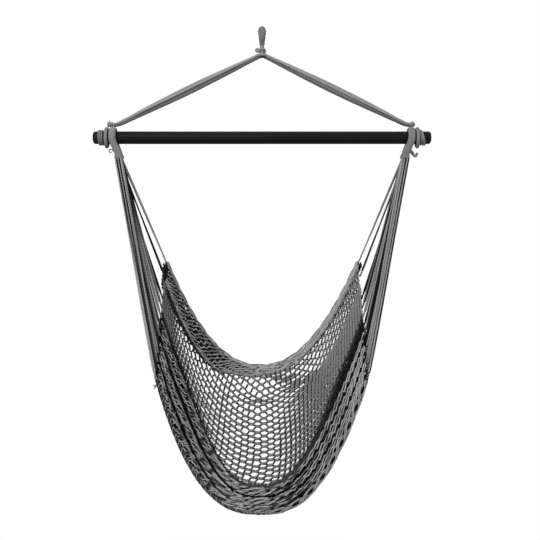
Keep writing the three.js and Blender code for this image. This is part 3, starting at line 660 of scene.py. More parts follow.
class HAMMOCK_OT_hanging_cords(bpy.types.Operator):
    """Makes the suspension cords, from each throat to the net's side edges"""

    bl_idname = "hammock.hanging_cords"
    bl_label = "Suspension cords"

    def execute(self, context):
        sizes, finish = context.scene.hammock_sizes, cord_finish(context.scene.hammock_colours)
        for name, side in SIDES:
            for number in range(CORDS_A_SIDE):
                route = self.route(side, number)
                start = run(route)[-1] - HITCH_START * HITCH_LENGTH
                line = placed(route, np.concatenate([np.linspace(0, start, 240)[:-1],
                                                     start + np.linspace(0, HITCH_START, 70) * HITCH_LENGTH]))
                distance = run(line)
                apart, held = self.apart(line, distance, number)
                pair = np.stack([line + apart, line - apart])
                reach = np.repeat(mix(PAIR_RADIUS, HITCH_CORD_RADIUS, held)[:, None], 9, 1)
                rings = np.stack([rings_round(cord, reach, BACKWARD) for cord in pair])
                shade = self.shade(name, number, distance / distance[-1])
                mesh = grid_mesh(f"{name}_hanging_cord_{number + 1:02d}", rings, distance,
                                 front_shade(shade, pair, rings))
                piece = place_piece(mesh, "seat", finish, f"{name}_cord_{number + 1:02d}")
        return {"FINISHED"}

    @staticmethod
    def route(side, number):
        """Straight down out of the throat, one smooth curve, and straight into the hitch at the net."""
        row, column = divmod(number, CORD_COLUMNS)
        along, across = CORD_LANDINGS[number], 0.0 if side < 0 else 1.0
        start = np.array([side * (THROAT_X + (1 - column) * CORD_COLUMN_PITCH), (row - 1.5) * CORD_ROW_PITCH,
                          -CORD_ROOT_DROP])
        below = start - (0, 0, CORD_EXIT_RUN)
        outward = net_directions(np.array(along), np.array(across))[1] * side
        edge = net_place(np.array(along), np.array(across))
        ahead = mix(along, CORD_LANDINGS[min(number + 1, CORDS_A_SIDE - 1)], 0.025)
        beyond = net_place(np.array(ahead), np.array(across)) - edge
        end = edge + outward * (0.0006 + beyond @ outward)
        above = end + outward * HITCH_LENGTH
        return np.concatenate([start[None], through([below, above, end], CORD_STEPS)])

    @staticmethod
    def apart(line, distance, number):
        """How far a cord of the pair is from their middle, gap * (aside * cos turn + up * sin turn), and how much
        the hitch holds it. The turn sways along the pair and winds up in the hitch."""
        left = distance[-1] - distance
        held = smooth(HITCH_LENGTH * HITCH_GATHER, HITCH_LENGTH, left)
        turn = PAIR_TURN * np.sin(PAIR_WAVE * distance + PAIR_SHIFT * number)
        turn = turn + math.pi / 2 * (number >= FIRST_THIN_PAIR)
        turn = turn + TURN * HITCH_TURNS * np.clip(1 - left / (HITCH_WIND * HITCH_LENGTH), 0, 1)
        aside, up = across_line(line, BACKWARD)
        gap = mix(PAIR_HALF_GAP, HITCH_HALF_GAP, held)
        return aside * (gap * np.cos(turn))[:, None] + up * (gap * np.sin(turn))[:, None], held

    @staticmethod
    def shade(name, number, share):
        """Painted shade of both cords of the pair. Low on the left, whole pairs are painted dark as lying in the
        shade of others.
        """
        low = (name == "left") * (number < FIRST_THIN_PAIR) * smooth(0.25, 0.6, share)
        return mix(np.array([[CORD_SHADES[name][number]], [PAIR_SHADES[name][number]]]), LOW_LEFT_SHADES[number], low)


class HAMMOCK_OT_legs(bpy.types.Operator):
    """Makes the four strands of each leg of the hanger"""

    bl_idname = "hammock.legs"
    bl_label = "Hanger legs"

    def execute(self, context):
        strand, finish = context.scene.hammock_sizes.leg_strand, leg_finish(context.scene.hammock_colours)
        for name, side in SIDES:
            for number, (end, middle) in STRAND_PLACES.items():
                line = evened(self.route(side, end, middle, strand), 420)
                distance = run(line)
                taper = 1 - 0.3 * smooth(0.035, 0.005, distance[-1] - distance)
                mesh = rope(f"{name}_leg_rope_{number}", line, taper * strand * STRAND_RADIUS_SHARE, LEG_LAY,
                            shade=STRAND_SHADES[number - 1])
                piece = place_piece(mesh, "hanger", finish, f"{name}_leg_strand_{number}")
        return {"FINISHED"}

    @staticmethod
    def route(side, end, middle, strand):
        """From inside the bight to the knot on the bar, spread apart as sin(pi * share) between them."""
        top, foot = np.array([0, 0, -LEG_APEX_DROP]), np.array([side * LEG_FOOT_X, 0, -LEG_FOOT_DROP])
        along = unit(foot - top)
        across = np.array([-along[2] * side, 0, along[0] * side])

        def offset(share):
            spread = math.sin(math.pi * share)
            pitch = mix(STRAND_PITCH, STRAND_SPREAD, spread) / 2
            sideways, depth = mix(end[0], middle[0], spread), mix(end[1], middle[1], spread)
            return np.array([0, pitch * depth, 0]) + across * pitch * sideways

        apex = np.array([0, 0, -APEX_DROP])
        line_start = top + offset(0)
        near = line_start + along * ((apex - line_start) @ along)
        aside = np.linalg.norm(near - apex) - strand / 2
        begin = near + along * math.sqrt(LEG_START_REACH**2 - aside**2) - offset(0)
        points = [mix(begin, foot, share) + offset(share) for share in (0, 0.2, 0.5, 0.8, 1)]
        for back in (strand, 0):
            points.append([side * (LEG_LANDING_X - back), offset(1)[1], -LEG_LANDING_DROP + offset(1) @ across])
        return through(points, 90)


def on_right(across):
    """0 on the left of the seat, 1 on its right, and a smooth change between them."""
    return smooth(0.40, 0.64, across)


def by_side(places, aside, right):
    """The value of places in the middle, and on the left or the right where aside is 1."""
    return mix(places["middle"], mix(places["left"], places["right"], right), aside)


class HAMMOCK_OT_net(bpy.types.Operator):
    """Makes the seat net: cords that zigzag from side to side and are clasped by their neighbours"""

    bl_idname = "hammock.net"
    bl_label = "Seat net"

    def execute(self, context):
        sizes, colours = context.scene.hammock_sizes, context.scene.hammock_colours
        finish = cord_finish(colours, 2.0, 210.0, "net_cord", colours.net)
        for number in range(len(FOLD_MIDDLE_PLACES)):
            line, shade = self.zigzags(*self.fold(number, FOLD_CORDS, 1.0), sizes, PLACES_A_MESH, True)
            self.band(f"net_fold_{number + 1}", line, shade, sizes, finish, 6, (0.74, 0.8, 1.0))
            # A core of cords inside each fold, painted black: painted shade inside the roll
            line, shade = self.zigzags(*self.fold(number, CORE_CORDS, 0.6), sizes, PLACES_A_MESH // 2, True)
            self.band(f"net_fold_core_{number + 1}", line, shade, sizes, finish, 5, (0.9, 0.9, 0.9))
        line, shade = self.zigzags(*self.back_roll(), sizes, PLACES_A_MESH, 0.5)
        self.band("net_back_roll", line, shade, sizes, finish, 6, (0.8, 0.8, 0.8))
        line, shade = self.zigzags(*self.gathers(), sizes, PLACES_A_MESH)
        upto = SHADE_CORDS + OPEN_CORDS
        for name, low, high in (("net_lower_meshes", 0, LOWER_CORDS), ("net_upper_meshes", LOWER_CORDS, upto),
                                ("net_back_band", upto, len(line))):
            self.band(name, line[low:high], shade[low:high], sizes, finish, 6, (0.8, 1.04, 0.8), 0.3)
        for name, gathers in (("net_under_fold", self.under_gathers()),
                              ("net_back_lining", self.lining_gathers())):
            line, shade = self.zigzags(*gathers, sizes, PLACES_A_MESH // 2)
            self.band(name, line, shade, sizes, finish, 5)
        return {"FINISHED"}

    @staticmethod
    def band(name, line, shade, sizes, finish, sides, thick=(1, 1, 1), slack=0.0):
        """One mesh of some of the net's cords, with thick on the left, in the middle and on the right. Free
        stretches, which are painted darker as shade, are thicker by the share slack."""
        left, middle, right = thick
        swell = np.interp(np.linspace(0, 1, line.shape[1]), (0.15, 0.4, 0.6, 0.85), (left, middle, middle, right))
        reach = np.repeat((swell[:, None] * (1 + slack * shade[..., None])) * sizes.net_cord / 2, sides, -1)
        rings = rings_round(line, reach, NET_FACING)
        mesh = grid_mesh(name, rings, run(line), front_shade(shade, line, rings))
        place_piece(mesh, "seat", finish, "seat_net")

    @staticmethod
    def widths(across):
        """How much a place is away from the middle, how much it is on the right, and where the folds end and
        the open meshes begin, as shares along the seat."""
        aside, right = smooth(0.02, 0.32, np.abs(across - 0.5)), on_right(across)
        return aside, right, by_side(FOLD_ENDS, aside, right), by_side(OPEN_STARTS, aside, right)

    @classmethod
    def fold(cls, number, cords, share):
        """A fold of the front edge: cords round a flat roll, at middle + half * sin(angle) along the seat and
        radius * cos(angle) proud of it. The angle grows across the left half, as the fold is twisted there, and
        on the right the roll is laid flat, with two cords of every three deeper. Painted shade darkens the cords on
        the roll's far side, the deeper ones, those near the front edge on the right behind its loops, and all of a
        core's cords (share under 1)."""
        across = np.linspace(0, 1, ROW_PLACES)
        aside, right, _, _ = cls.widths(across)
        sideways = mix(FOLD_LEFT_PLACES[number], FOLD_RIGHT_PLACES[number], right)
        middle = mix(FOLD_MIDDLE_PLACES[number], sideways, aside)
        half = mix(FOLD_MIDDLE_HALF, mix(FOLD_LEFT_HALVES[number], FOLD_RIGHT_HALF, right), aside) * share
        radius = by_side(FOLD_RADII, aside, right) * share
        travel = run(net_place(middle, across))
        twist = TURN * FOLD_TURNS * np.clip(travel / (FOLD_TWISTED_SHARE * travel[-1]), 0, 1)
        angle = TURN * np.arange(cords)[:, None] / cords + twist
        deeper = (np.arange(cords) % 3 > 0)[:, None] * right
        flat = mix(np.sin(angle), np.arcsin(np.sin(angle)) * 2 / math.pi, right)
        along = np.clip(middle + half * flat, FOLD_NEAREST * right, 1)
        shade = 0.98 * np.maximum(smooth(mix(0.30, 0.12, right), -0.15, np.cos(angle)), deeper)
        shade = np.maximum(shade, 0.97 * right * smooth(0.056, 0.044, along))
        return along, radius * np.cos(angle) - FOLD_DEPTH * deeper, np.maximum(shade, share < 1), across

    @staticmethod
    def back_roll():
        """The back edge's roll: cords round it as round a front fold, wide on the left and thin on the right, with
        its far side painted dark as shade.
        """
        across = np.linspace(0, 1, ROW_PLACES)
        half = np.interp(across, ROLL_STATIONS, ROLL_WIDTHS) / 2
        travel = run(net_place(1 - half, across))
        twist = TURN * ROLL_TURNS * np.clip(travel / (ROLL_TWISTED_SHARE * travel[-1]), 0, 1)
        angle = TURN * np.arange(ROLL_CORDS)[:, None] / ROLL_CORDS + twist
        proud = 0.003 + mix(0.008, 0.004, smooth(0.4, 0.55, across)) * np.cos(angle)
        return np.clip(1 - half + half * np.sin(angle), 0, 1), proud, 0.97 * smooth(0.05, -0.3, np.cos(angle)), across

    @classmethod
    def gathers(cls):
        """Where each cord behind the folds lies along the seat, how far it stands proud and how much painted shade
        it takes, from side to side: the shaded ones, the open meshes and the band at the back edge. On the left the
        first open meshes are hidden under the folds, and in the middle some are drawn together near the back. The
        shaded ones, the rows hidden under the folds, the rows next to the folds and to the roll, and on the left the
        band's rows behind the roll are painted dark as shade."""
        across = np.linspace(0, 1, ROW_PLACES)
        aside, right, folds, opening = cls.widths(across)
        left_band = np.interp(across, ROLL_STATIONS, ROLL_WIDTHS)
        back = 1 - mix(left_band, mix(0.06, 0.24, smooth(0.5, 0.75, across)), smooth(0.46, 0.56, across))
        shaded = mix(folds, opening, np.arange(SHADE_CORDS)[:, None] / SHADE_CORDS)
        hidden = HIDDEN_SHARE * smooth(0.06, 0.16, across) * smooth(0.5, 0.3, across)
        crowd = 1 + BACK_CROWD * aside * smooth(0.45, 0.6, across)
        row = np.arange(OPEN_CORDS)[:, None] / OPEN_CORDS
        share = mix(1 - (1 - row) ** crowd, 0.35 * row + 0.65 * row**3, smooth(0.40, 0.18, across))
        open_rows = np.maximum(mix(opening - hidden, back, share), 0.12)
        under = smooth(0, 0.03, opening - open_rows) * (hidden > 0)
        off_bunch = open_rows - BUNCH_ALONG
        bunch = np.exp(-(off_bunch / BUNCH_REACH) ** 2 - ((across - BUNCH_ACROSS) / BUNCH_REACH) ** 2)
        open_rows = open_rows - 0.75 * off_bunch * bunch
        ends = np.linspace(0, 1, BACK_CORDS)[:, None]
        along = np.concatenate([shaded, open_rows, mix(back, np.ones_like(back), ends)])
        left = smooth(0.52, 0.36, across)
        shadow = smooth(0.40, 0.22, across) * smooth(0, 0.05, across)
        # Painted shadow on the rows next to the folds and next to the roll
        shadow_by_folds = 0.95 * aside * smooth(mix(0.04, 0.08, right), mix(0.015, 0.035, right), open_rows - opening)
        shadow_by_roll = 0.96 * shadow * smooth(0.10, 0.05, back - open_rows)
        proud = np.concatenate([-0.008 * aside * np.linspace(1, 0, SHADE_CORDS)[:, None], -0.011 * under,
                                np.sin(math.pi * ends) * mix(0.003, -0.007, left)])
        shade = np.concatenate([mix(0.85, 0.98, aside) * np.ones_like(shaded),
                                np.maximum(np.maximum(shadow_by_folds, shadow_by_roll), 0.97 * under),
                                0.93 * left * np.ones_like(ends)])
        return along, proud, shade, across

    @classmethod
    def under_gathers(cls):
        """The net folded back under the front folds: cords close together, behind them, painted near black as their
        shade.
        """
        across = np.linspace(0, 1, ROW_PLACES)
        opening = cls.widths(across)[3]
        share = np.linspace(0, 1, UNDER_CORDS)[:, None]
        along = mix(0.02 * smooth(0.55, 0.4, across), opening, share)
        proud = -0.013 * smooth(0, 0.2, share) * (1 - smooth(0.7, 1, share)) + 0 * along
        return along, proud, np.full_like(along, 0.995), across

    @staticmethod
    def lining_gathers():
        """The net doubled behind the back edge's band, painted dark as its shade."""
        across = np.linspace(0, 1, ROW_PLACES)
        along = 1 - np.interp(across, LINING_STATIONS, LINING_WIDTHS) * np.linspace(1, 0.08, LINING_CORDS)[:, None]
        return along, np.full_like(along, -0.009), np.full_like(along, 0.97), across

    @staticmethod
    def zigzags(along, proud, shade, across, sizes, places, closed=False):
        """Centre lines of clasped cords. A cord meets the one in front of it and the one behind it by turns.
        At a clasp both wind once round their common middle: radius * (sin turn to the back, cos turn up).
        Between clasps the cord crosses over as 3t^2 - 2t^3. Where closed isn't 0 the cords go round a roll:
        they run nearly straight on the left, and closed is how much some of them are dimmer for a stretch."""
        cords, halves = len(along), 2 * round(sizes.net_meshes * (FOLDED_MESHES_SHARE if closed else 1))
        share = run(net_place(along, across[None]))
        share = share / share[:, -1:]
        random = np.random.default_rng(NET_SEED)
        jog = random.normal(0, 1, (2, cords + 1, halves + 2))
        dim = smooth(0.4, 0.8, random.uniform(0, 1, (cords, halves + 2))) * closed
        if closed:
            rows, lift = ((np.roll(x, 1, 0) + x) / 2 for x in (along, proud))
            rows, lift = (np.concatenate([x, x[:1]]) for x in (rows, lift))
            jog[:, -1] = jog[:, 0]
        else:
            rows = np.concatenate([along[:1] * 1.5 - along[1:2] * 0.5, (along[:-1] + along[1:]) / 2,
                                   along[-1:] * 1.5 - along[-2:-1] * 0.5]).clip(0, 1)
            lift = np.concatenate([proud[:1], (proud[:-1] + proud[1:]) / 2, proud[-1:]])
        stray = np.abs(np.gradient(rows, axis=0)).mean(1) * (FOLD_ALONG_JOG if closed else ALONG_JOG)
        step = np.linspace(0, halves, halves * places // 2 + 1)
        low = np.minimum(step.astype(int), halves - 1)
        held = FOLD_CLASP_SHARE if closed else CLASP_SHARE
        cross = smooth(held, 1 - held, step - low)
        number = np.arange(cords)[:, None]

        def clasp(at):
            """Along, proud, sin turn, cos turn and dim of each cord about its clasp number at."""
            row = number + (at[None] + number) % 2
            u = np.stack([np.interp(at / halves, share[n], across) for n in range(cords)])
            u = np.clip(u + jog[1][row, at[None]] * ACROSS_JOG * (at > 0) * (at < halves), 0, 1)
            pick = np.interp(u, across, np.arange(len(across)))
            cell = np.minimum(pick.astype(int), len(across) - 2)

            def read(values, which):
                return mix(values[which, cell], values[which, cell + 1], pick - cell)

            a, n = read(rows, row) + jog[0][row, at[None]] * stray[row], read(lift, row)
            if closed:
                right = on_right(u)
                a = mix(read(along, number), a, mix(FOLD_LEFT_PULL, FOLD_RIGHT_PULL, right))
                n = mix(read(proud, number), n, mix(FOLD_LEFT_PULL, FOLD_RIGHT_LIFT, right))
            turn = np.clip((step[None] - at[None]) / (2 * held) + 0.5, 0, 1) * TURN
            turn = turn + np.where(row == number, 0.5, -0.5) * math.pi
            return np.clip(a, 0, 1), n, np.sin(turn), np.cos(turn), dim[number, at[None]]

        a, n, aside, above, dimmed = (mix(x, y, cross[None]) for x, y in zip(clasp(low), clasp(low + 1)))
        u = np.stack([np.interp(step / halves, share[k], across) for k in range(cords)])
        s = np.stack([np.interp(u[k], across, shade[k]) for k in range(cords)])
        s = 1 - (1 - s) * (1 - dimmed * np.interp(u, STROKE_STATIONS, STROKE_DIMS))
        back, _, up = net_directions(a, u)
        radius = sizes.net_cord * CLASP_RADIUS_SHARE * (mix(LEFT_CLASP_SHARE, 1, on_right(u)) if closed else 1)
        line = net_place(a, u) + back * (aside * radius)[..., None] + up * (n + above * radius)[..., None]
        # Painted shade: free stretches darker than the clasps
        clasped = 0 if closed else mix(CLASP_SHADE, OPEN_SHADE, smooth(0, 0.6, 4 * cross * (1 - cross)))
        return line, np.maximum(s, clasped)


def net_edge(along, across):
    """Places on the net's front or back edge, and arrows out from it and up, square to the edge."""
    edge = np.full_like(across, along)
    _, right, up = net_directions(edge, across)
    return net_place(edge, across), np.cross(up, right) * (1 if along > 0.5 else -1), up


class HAMMOCK_OT_edge_cords(bpy.types.Operator):
    """Makes the front and back edge cords, threaded through the net's outer loops"""

    bl_idname = "hammock.edge_cords"
    bl_label = "Edge cords"

    def execute(self, context):
        finish = cord_finish(context.scene.hammock_colours, 2.0, 90.0, "edge_rope")
        for name, along in (("front", 0.0), ("back", 1.0)):
            across = np.linspace(*EDGE_SPAN, EDGE_PLACES)
            right = smooth(0.45, 0.6, across) * (1 - along)
            loose = np.maximum(right, along)
            line = np.stack([self.strand(name, along, across, number, right, loose)
                             for number in range(EDGE_STRANDS)])
            reach = np.full((*line.shape[:2], EDGE_SIDES), EDGE_CORD_RADIUS)
            # Painted shade on the front edge's left strands
            mesh = tube(f"{name}_edge_rope", line, reach, NET_FACING, mix(np.array(EDGE_SHADES)[:, None], 0, loose))
            place_piece(mesh, "seat", finish, f"{name}_edge_cord")
        corner = net_place(np.array(0.0), np.array(0.0)) + CORNER_SHIFT
        mesh = frayed_ends("front_corner_ends", corner, CORNER_FRAY, CORNER_ENDS, NET_SEED)
        place_piece(mesh, "seat", finish, "front_edge_cord")
        return {"FINISHED"}

    @staticmethod
    def strand(name, along, across, number, right, loose):
        """One strand, which waves out from the edge as swing * sin(turn) and lies round * cos(turn) above it. On
        the front edge's right half it rises into loops instead, all but the last strand, which runs in them."""
        place, outward, up = net_edge(along, across)
        share = run(place) / run(place)[-1]
        turn = math.pi * EDGE_WAVES[name] * (share + EDGE_LEFT_TWIST * np.minimum(share, 0.5) * (1 - along))
        turn = turn + mix(number * math.pi / 2, (number // 2) * math.pi + (number % 2) * EDGE_LOOP_SHIFT, loose)
        wave, above = np.sin(turn), EDGE_ROUND * np.cos(turn)
        loop = EDGE_LOOP_LIFT + EDGE_LOOP_SWING * np.sign(wave) * smooth(0.1, 0.95, np.abs(wave))
        out = mix(mix(*EDGE_OUTS, along) + mix(*EDGE_SWINGS, along) * wave, EDGE_RIGHT_OUT + above, right)
        lift = mix(EDGE_LIFT + above, EDGE_CORE_LIFT if number == EDGE_STRANDS - 1 else loop, right)
        return place + outward * out[:, None] + up * lift[:, None]


class HAMMOCK_OT_hanging_eye(bpy.types.Operator):
    """Makes the served eye on top, with the neck under it"""

    bl_idname = "hammock.hanging_eye"
    bl_label = "Hanging eye"

    def execute(self, context):
        sizes, finish = context.scene.hammock_sizes, serving_finish(context.scene.hammock_colours)
        rising = [(0, -y, z) for y, z in EYE_LOOP]
        falling = [(0, y, z) for y, z in reversed(EYE_LOOP)]
        line = evened(through([*rising, (0, 0, EYE_CROWN), *falling], 40), 360)
        height = line[:, 2]
        width = np.interp(height, EYE_WIDTH_HEIGHTS, EYE_WIDTHS)
        wall = mix(EYE_FOOT_WALL, EYE_WALL, smooth(-0.034, -0.018, height))
        wall = wall + EYE_CROWN_WALL * smooth(-0.004, 0.009, height)
        reach = served(run(line), SERVED_SIDES, width, wall, sizes.serving_pitch, EYE_RIDGE)
        mesh = tube("served_hanging_eye", line, reach, RIGHTWARD, EYE_SHADE)
        place_piece(mesh, "hanging_eye", finish, "hanging_eye")

        heights = np.linspace(*NECK_HEIGHTS, 60)
        radius = NECK_RADIUS + NECK_FLARE * smooth(-0.041, -0.046, heights)
        mesh = rope("gathered_neck", upright(heights), radius, NECK_LAY)
        place_piece(mesh, "neck", finish, "hanging_neck")
        return {"FINISHED"}


class HAMMOCK_OT_apex(bpy.types.Operator):
    """Makes the apex: the gathered bight, its seizing and the folded tail"""

    bl_idname = "hammock.apex"
    bl_label = "Apex"

    def execute(self, context):
        colours = context.scene.hammock_colours
        thick, thin = leg_finish(colours), serving_finish(colours)
        low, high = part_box("apex_bight")
        share = np.linspace(0, 1, 90)
        radius = mix(COLLAR_RADIUS, BIGHT_RADIUS, smooth(0.35, 0.95, share))
        radius = radius * np.sqrt(np.clip(1.02 - smooth(0.86, 1.0, share), 0, 1))
        mesh = rope("gathered_bight", upright(np.linspace(high.z, low.z - BIGHT_HANG, 90)), radius, BIGHT_LAY,
                    shade=BIGHT_SHADE * smooth(0.60, 0.95, share))
        place_piece(mesh, "apex", thick, "apex_bight")

        turn = np.linspace(0, SEIZING_TURNS, 220)
        line = np.stack([np.cos(TURN * turn) * SEIZING_RADIUS, np.sin(TURN * turn) * SEIZING_RADIUS,
                         -APEX_DROP - SEIZING_CORD / 2 - turn * SEIZING_PITCH], -1)
        mesh = rope("thin_seizing", line, SEIZING_CORD * SEIZING_RADIUS_SHARE, SEIZING_LAY, UPWARD)
        place_piece(mesh, "apex", thin, "apex_seizing")

        points = [(-APEX_TAIL_OUT - out * APEX_TAIL_REACH, 0, -APEX_TAIL_DROP + up * APEX_TAIL_LENGTH)
                  for out, up in APEX_TAIL_FOLD]
        mesh = rope("folded_tail", evened(through(points, 30), 90), APEX_TAIL_RADIUS, TAIL_LAY)
        place_piece(mesh, "apex", thin, "apex_tail")
        return {"FINISHED"}


class HAMMOCK_OT_bar(bpy.types.Operator):
    """Makes the stained spreader bar"""

    bl_idname = "hammock.bar"
    bl_label = "Spreader bar"

    def execute(self, context):
        stains = {"Stain": opaque(context.scene.hammock_colours.stain), "Rubbed": opaque(RUBBED_STAIN)}
        finish = finish_of("black_stain", grain_group, stains, 0.25, 0.0004)
        turn = np.linspace(0, math.pi / 2, 14)
        end_x = BAR_HALF - BAR_END_ROUNDING * (1 - np.sin(turn))
        end_r = BAR_RADIUS - BAR_END_ROUNDING * (1 - np.cos(turn))
        end_x = np.concatenate([end_x, np.full(len(BAR_END_RINGS), BAR_HALF)])
        end_r = np.concatenate([end_r, np.array(BAR_END_RINGS) * end_r[-1]])
        middle = np.linspace(-1, 1, 60) * (BAR_HALF - BAR_END_ROUNDING - 0.001)
        x = np.concatenate([-end_x[::-1], middle, end_x])[:, None]
        radius = np.concatenate([end_r[::-1], np.full(60, BAR_RADIUS), end_r])[:, None]
        angle = TURN * np.arange(BAR_SIDES) / BAR_SIDES
        rings = np.stack([x + 0 * angle, radius * np.cos(angle), radius * np.sin(angle) - BAR_DROP], -1)
        place_piece(grid_mesh("stained_bar", rings, x[:, 0]), "hanger", finish, "spreader_bar")
        return {"FINISHED"}


def round_bar(x, angle, radius):
    """A line round the bar, from its top towards the back: (x, radius * sin angle, radius * cos angle)."""
    return np.stack([x + 0 * angle, np.sin(angle) * radius, np.cos(angle) * radius - BAR_DROP], -1)


class HAMMOCK_OT_bar_ties(bpy.types.Operator):
    """Makes the hanger's eyes, knots and lashings on the bar's ends"""

    bl_idname = "hammock.bar_ties"
    bl_label = "Bar ties"

    def execute(self, context):
        colours = context.scene.hammock_colours
        thick, thin = leg_finish(colours), serving_finish(colours)
        for name, side in SIDES:
            line = round_bar(side * HANGER_EYE_X, np.linspace(0, TURN, 300), HANGER_EYE_RADIUS)
            reach = served(run(line), HANGER_EYE_SIDES, HANGER_EYE_WIDTH, HANGER_EYE_WALL,
                           HANGER_SERVING_PITCH, EYE_RIDGE)
            mesh = tube(f"{name}_served_hanger_eye", line, reach, RIGHTWARD)
            place_piece(mesh, "hanger", thin, f"{name}_hanger_eye")

            turn = np.linspace(0, LASHING_TURNS, 200)
            fan = LASHING_FANS[name] * turn * (1 - np.cos(TURN * turn)) / 2
            x = side * (LASHING_X + turn * LASHING_PITCHES[name] + fan)
            line = round_bar(x, -side * TURN * turn, LASHING_RADIUS)
            mesh = rope(f"{name}_thin_lashing", line, LASHING_CORD_RADIUS, LASHING_LAY, RIGHTWARD)
            place_piece(mesh, "hanger", thin, f"{name}_lashing")

            share = np.linspace(0, 1, 80)
            line = np.stack([side * (KNOT_XS[name] + (share - 0.5) * KNOT_LENGTH), 0 * share,
                             np.full(80, -KNOT_DROP - KNOT_SINK)], -1)
            swell = KNOT_RADIUS + KNOT_SWELL * np.abs(np.sin(3 * math.pi * share))
            radius = swell * np.sqrt(np.clip(1.02 - np.abs(2 * share - 1) ** 8, 0, 1))
            knot = rope(f"{name}_top_knot", line, radius, KNOT_LAY, shade=KNOT_SHADE)
            ends = frayed_ends(f"{name}_knot_ends", (side * KNOT_XS[name], 0, -KNOT_DROP), KNOT_FRAY, KNOT_ENDS,
                               KNOT_SEED + side)
            for mesh in (knot, ends):
                place_piece(mesh, "hanger", thick, f"{name}_hanger_knot")
        return {"FINISHED"}


class HAMMOCK_OT_seat_eyes(bpy.types.Operator):
    """Makes the served eyes round the bar, with their throats and short tails"""

    bl_idname = "hammock.seat_eyes"
    bl_label = "Seat eyes"

    def execute(self, context):
        sizes, thin = context.scene.hammock_sizes, serving_finish(context.scene.hammock_colours)
        for name, side in SIDES:
            line, width, wall = self.loop(side)
            reach = served(run(line), SERVED_SIDES, width, wall, sizes.serving_pitch, SEAT_EYE_RIDGE)
            mesh = tube(f"{name}_served_seat_eye", line, reach, RIGHTWARD)
            place_piece(mesh, "seat", thin, f"{name}_seat_eye")

            points = [(side * (TAIL_X + out), 0, -TAIL_DROP + up) for out, up in TAIL_POINTS[name]]
            line = evened(through(points, 30), 90)
            mesh = rope(f"{name}_serving_tail", line, np.linspace(*TAIL_RADII[name], 90), TAIL_LAY)
            place_piece(mesh, "seat", thin, f"{name}_seat_tail")
        return {"FINISHED"}

    @staticmethod
    def loop(side):
        """Up from the throat, round the bar on a circle, and down again, leaning inwards as it goes down."""
        radius, foot = SEAT_EYE_RADIUS, SEAT_EYE_FOOT
        touch = math.atan2(foot, THROAT_DROP) + math.acos(radius / math.hypot(foot, THROAT_DROP))
        turn = np.linspace(math.pi - touch, touch - math.pi, 160)
        arc = np.stack([-np.sin(turn) * radius, np.cos(turn) * radius], -1)
        up = mix(np.array([[-foot, -THROAT_DROP]]), arc[:1], np.linspace(0, 1, 60)[:-1, None])
        flat = np.concatenate([up, arc, (up * (-1, 1))[::-1]])
        lean = THROAT_LEAN * smooth(0, THROAT_DROP, -flat[:, 1])
        line = evened(np.stack([side * (SEAT_EYE_X - lean), flat[:, 0], flat[:, 1] - BAR_DROP], -1), 420)
        drop = -(line[:, 2] + BAR_DROP)
        width = SEAT_EYE_WIDTH * mix(1, SEAT_THROAT_WIDTH_SHARE, smooth(0.045, THROAT_DROP, drop))
        return line, width, mix(SEAT_EYE_WALL, SEAT_THROAT_WALL, smooth(0.03, THROAT_DROP, drop))


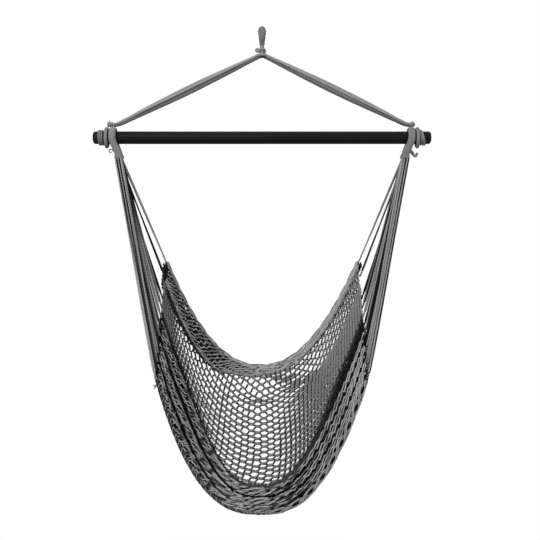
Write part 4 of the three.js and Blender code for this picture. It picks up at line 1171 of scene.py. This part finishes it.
class HAMMOCK_OT_stage(bpy.types.Operator):
    """Makes the pale floor, the lamps and the white surroundings"""

    bl_idname = "hammock.stage"
    bl_label = "Stage"

    def execute(self, context):
        context.scene.view_settings.view_transform = "Standard"
        self.floor(context.scene.hammock_colours)
        for lamp in LAMPS:
            self.lamp(*lamp)
        context.scene.world = self.surroundings()
        return {"FINISHED"}

    @staticmethod
    def surroundings():
        """Plain white to look at, and dimmer where it lights the chair."""
        world = bpy.data.worlds.new("white_surroundings")
        world.use_nodes = True
        tree = world.node_tree
        dim = tree.nodes["Background"]
        fill(tree, dim.inputs["Color"], WHITE)
        fill(tree, dim.inputs["Strength"], AMBIENT)
        white = add_node(tree, "Background", {"Color": WHITE, "Strength": 1.0})
        path = add_node(tree, "LightPath").outputs
        mirrored = math_node(tree, "MAXIMUM", path["Is Glossy Ray"], path["Is Transmission Ray"])
        direct = math_node(tree, "MAXIMUM", path["Is Camera Ray"], mirrored)
        seen = add_node(tree, "MixShader", {0: direct, 1: dim.outputs[0], 2: white.outputs[0]})
        fill(tree, tree.nodes["World Output"].inputs["Surface"], seen.outputs[0])
        return world

    @staticmethod
    def lamp(name, place, size, power):
        """A square area lamp that faces the chair's middle."""
        data = bpy.data.lights.new(name, "AREA")
        data.size = size
        data.energy = power
        lamp = bpy.data.objects.new(name, data)
        lamp.location = place
        lamp.rotation_euler = (Vector(LAMP_TARGET) - Vector(place)).to_track_quat("-Z", "Y").to_euler()
        bpy.context.scene.collection.objects.link(lamp)

    @staticmethod
    def floor(colours):
        """A round floor under the chair, pale, that thins out to nothing towards its rim, which is bent down."""
        share = np.linspace(0.02, 1, FLOOR_RINGS)
        ring, turn = np.meshgrid(share * FLOOR_RADIUS, TURN * np.arange(FLOOR_SIDES) / FLOOR_SIDES, indexing="ij")
        top = -FLOOR_DROP - FLOOR_RIM_BEND * (ring >= FLOOR_RADIUS)
        rings = np.stack([ring * np.cos(turn), ring * np.sin(turn), top], -1)
        mesh = grid_mesh("pale_floor", rings, np.linspace(0, 1, FLOOR_RINGS))
        material, tree, shader = new_material("pale_floor")
        fill(tree, shader["Base Color"], opaque(colours.floor))
        fill(tree, shader["Roughness"], 0.9)
        fill(tree, shader["Specular IOR Level"], 0.1)
        outwards = add_node(tree, "SeparateXYZ", {0: add_node(tree, "UVMap").outputs[0]}).outputs[0]
        start, end = FLOOR_FADE
        fade = {"Value": outwards, "From Min": start, "From Max": end, "To Min": 1.0, "To Max": 0.0}
        fill(tree, shader["Alpha"], add_node(tree, "MapRange", fade, interpolation_type="SMOOTHSTEP").outputs[0])
        mesh.materials.append(material)
        floor = bpy.data.objects.new("pale_floor", mesh)
        bpy.context.scene.collection.objects.link(floor)


class HAMMOCK_PT_panel(bpy.types.Panel):
    """Lists the chair's pieces"""

    bl_idname = "HAMMOCK_PT_panel"
    bl_label = "Hammock chair"
    bl_space_type = "VIEW_3D"
    bl_region_type = "UI"
    bl_category = "Hammock chair"

    def draw(self, context):
        for group in (context.scene.hammock_sizes, context.scene.hammock_colours):
            for name in group.__annotations__:
                self.layout.prop(group, name)
        for operator in OPERATORS:
            self.layout.operator(operator.bl_idname)


OPERATORS = (
    HAMMOCK_OT_camera, HAMMOCK_OT_hanging_cords, HAMMOCK_OT_legs, HAMMOCK_OT_net, HAMMOCK_OT_edge_cords,
    HAMMOCK_OT_hanging_eye, HAMMOCK_OT_apex, HAMMOCK_OT_bar, HAMMOCK_OT_bar_ties, HAMMOCK_OT_seat_eyes,
    HAMMOCK_OT_stage,
)
CLASSES = (HammockSizes, HammockColours, *OPERATORS, HAMMOCK_PT_panel)


def register():
    for kind in CLASSES:
        bpy.utils.register_class(kind)
    bpy.types.Scene.hammock_sizes = PointerProperty(type=HammockSizes)
    bpy.types.Scene.hammock_colours = PointerProperty(type=HammockColours)


def unregister():
    del bpy.types.Scene.hammock_colours
    del bpy.types.Scene.hammock_sizes
    for kind in reversed(CLASSES):
        bpy.utils.unregister_class(kind)


def main():
    """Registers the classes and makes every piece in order."""
    register()
    for operator in OPERATORS:
        family, name = operator.bl_idname.split(".")
        getattr(getattr(bpy.ops, family), name)()


if __name__ == "__main__":
    main()
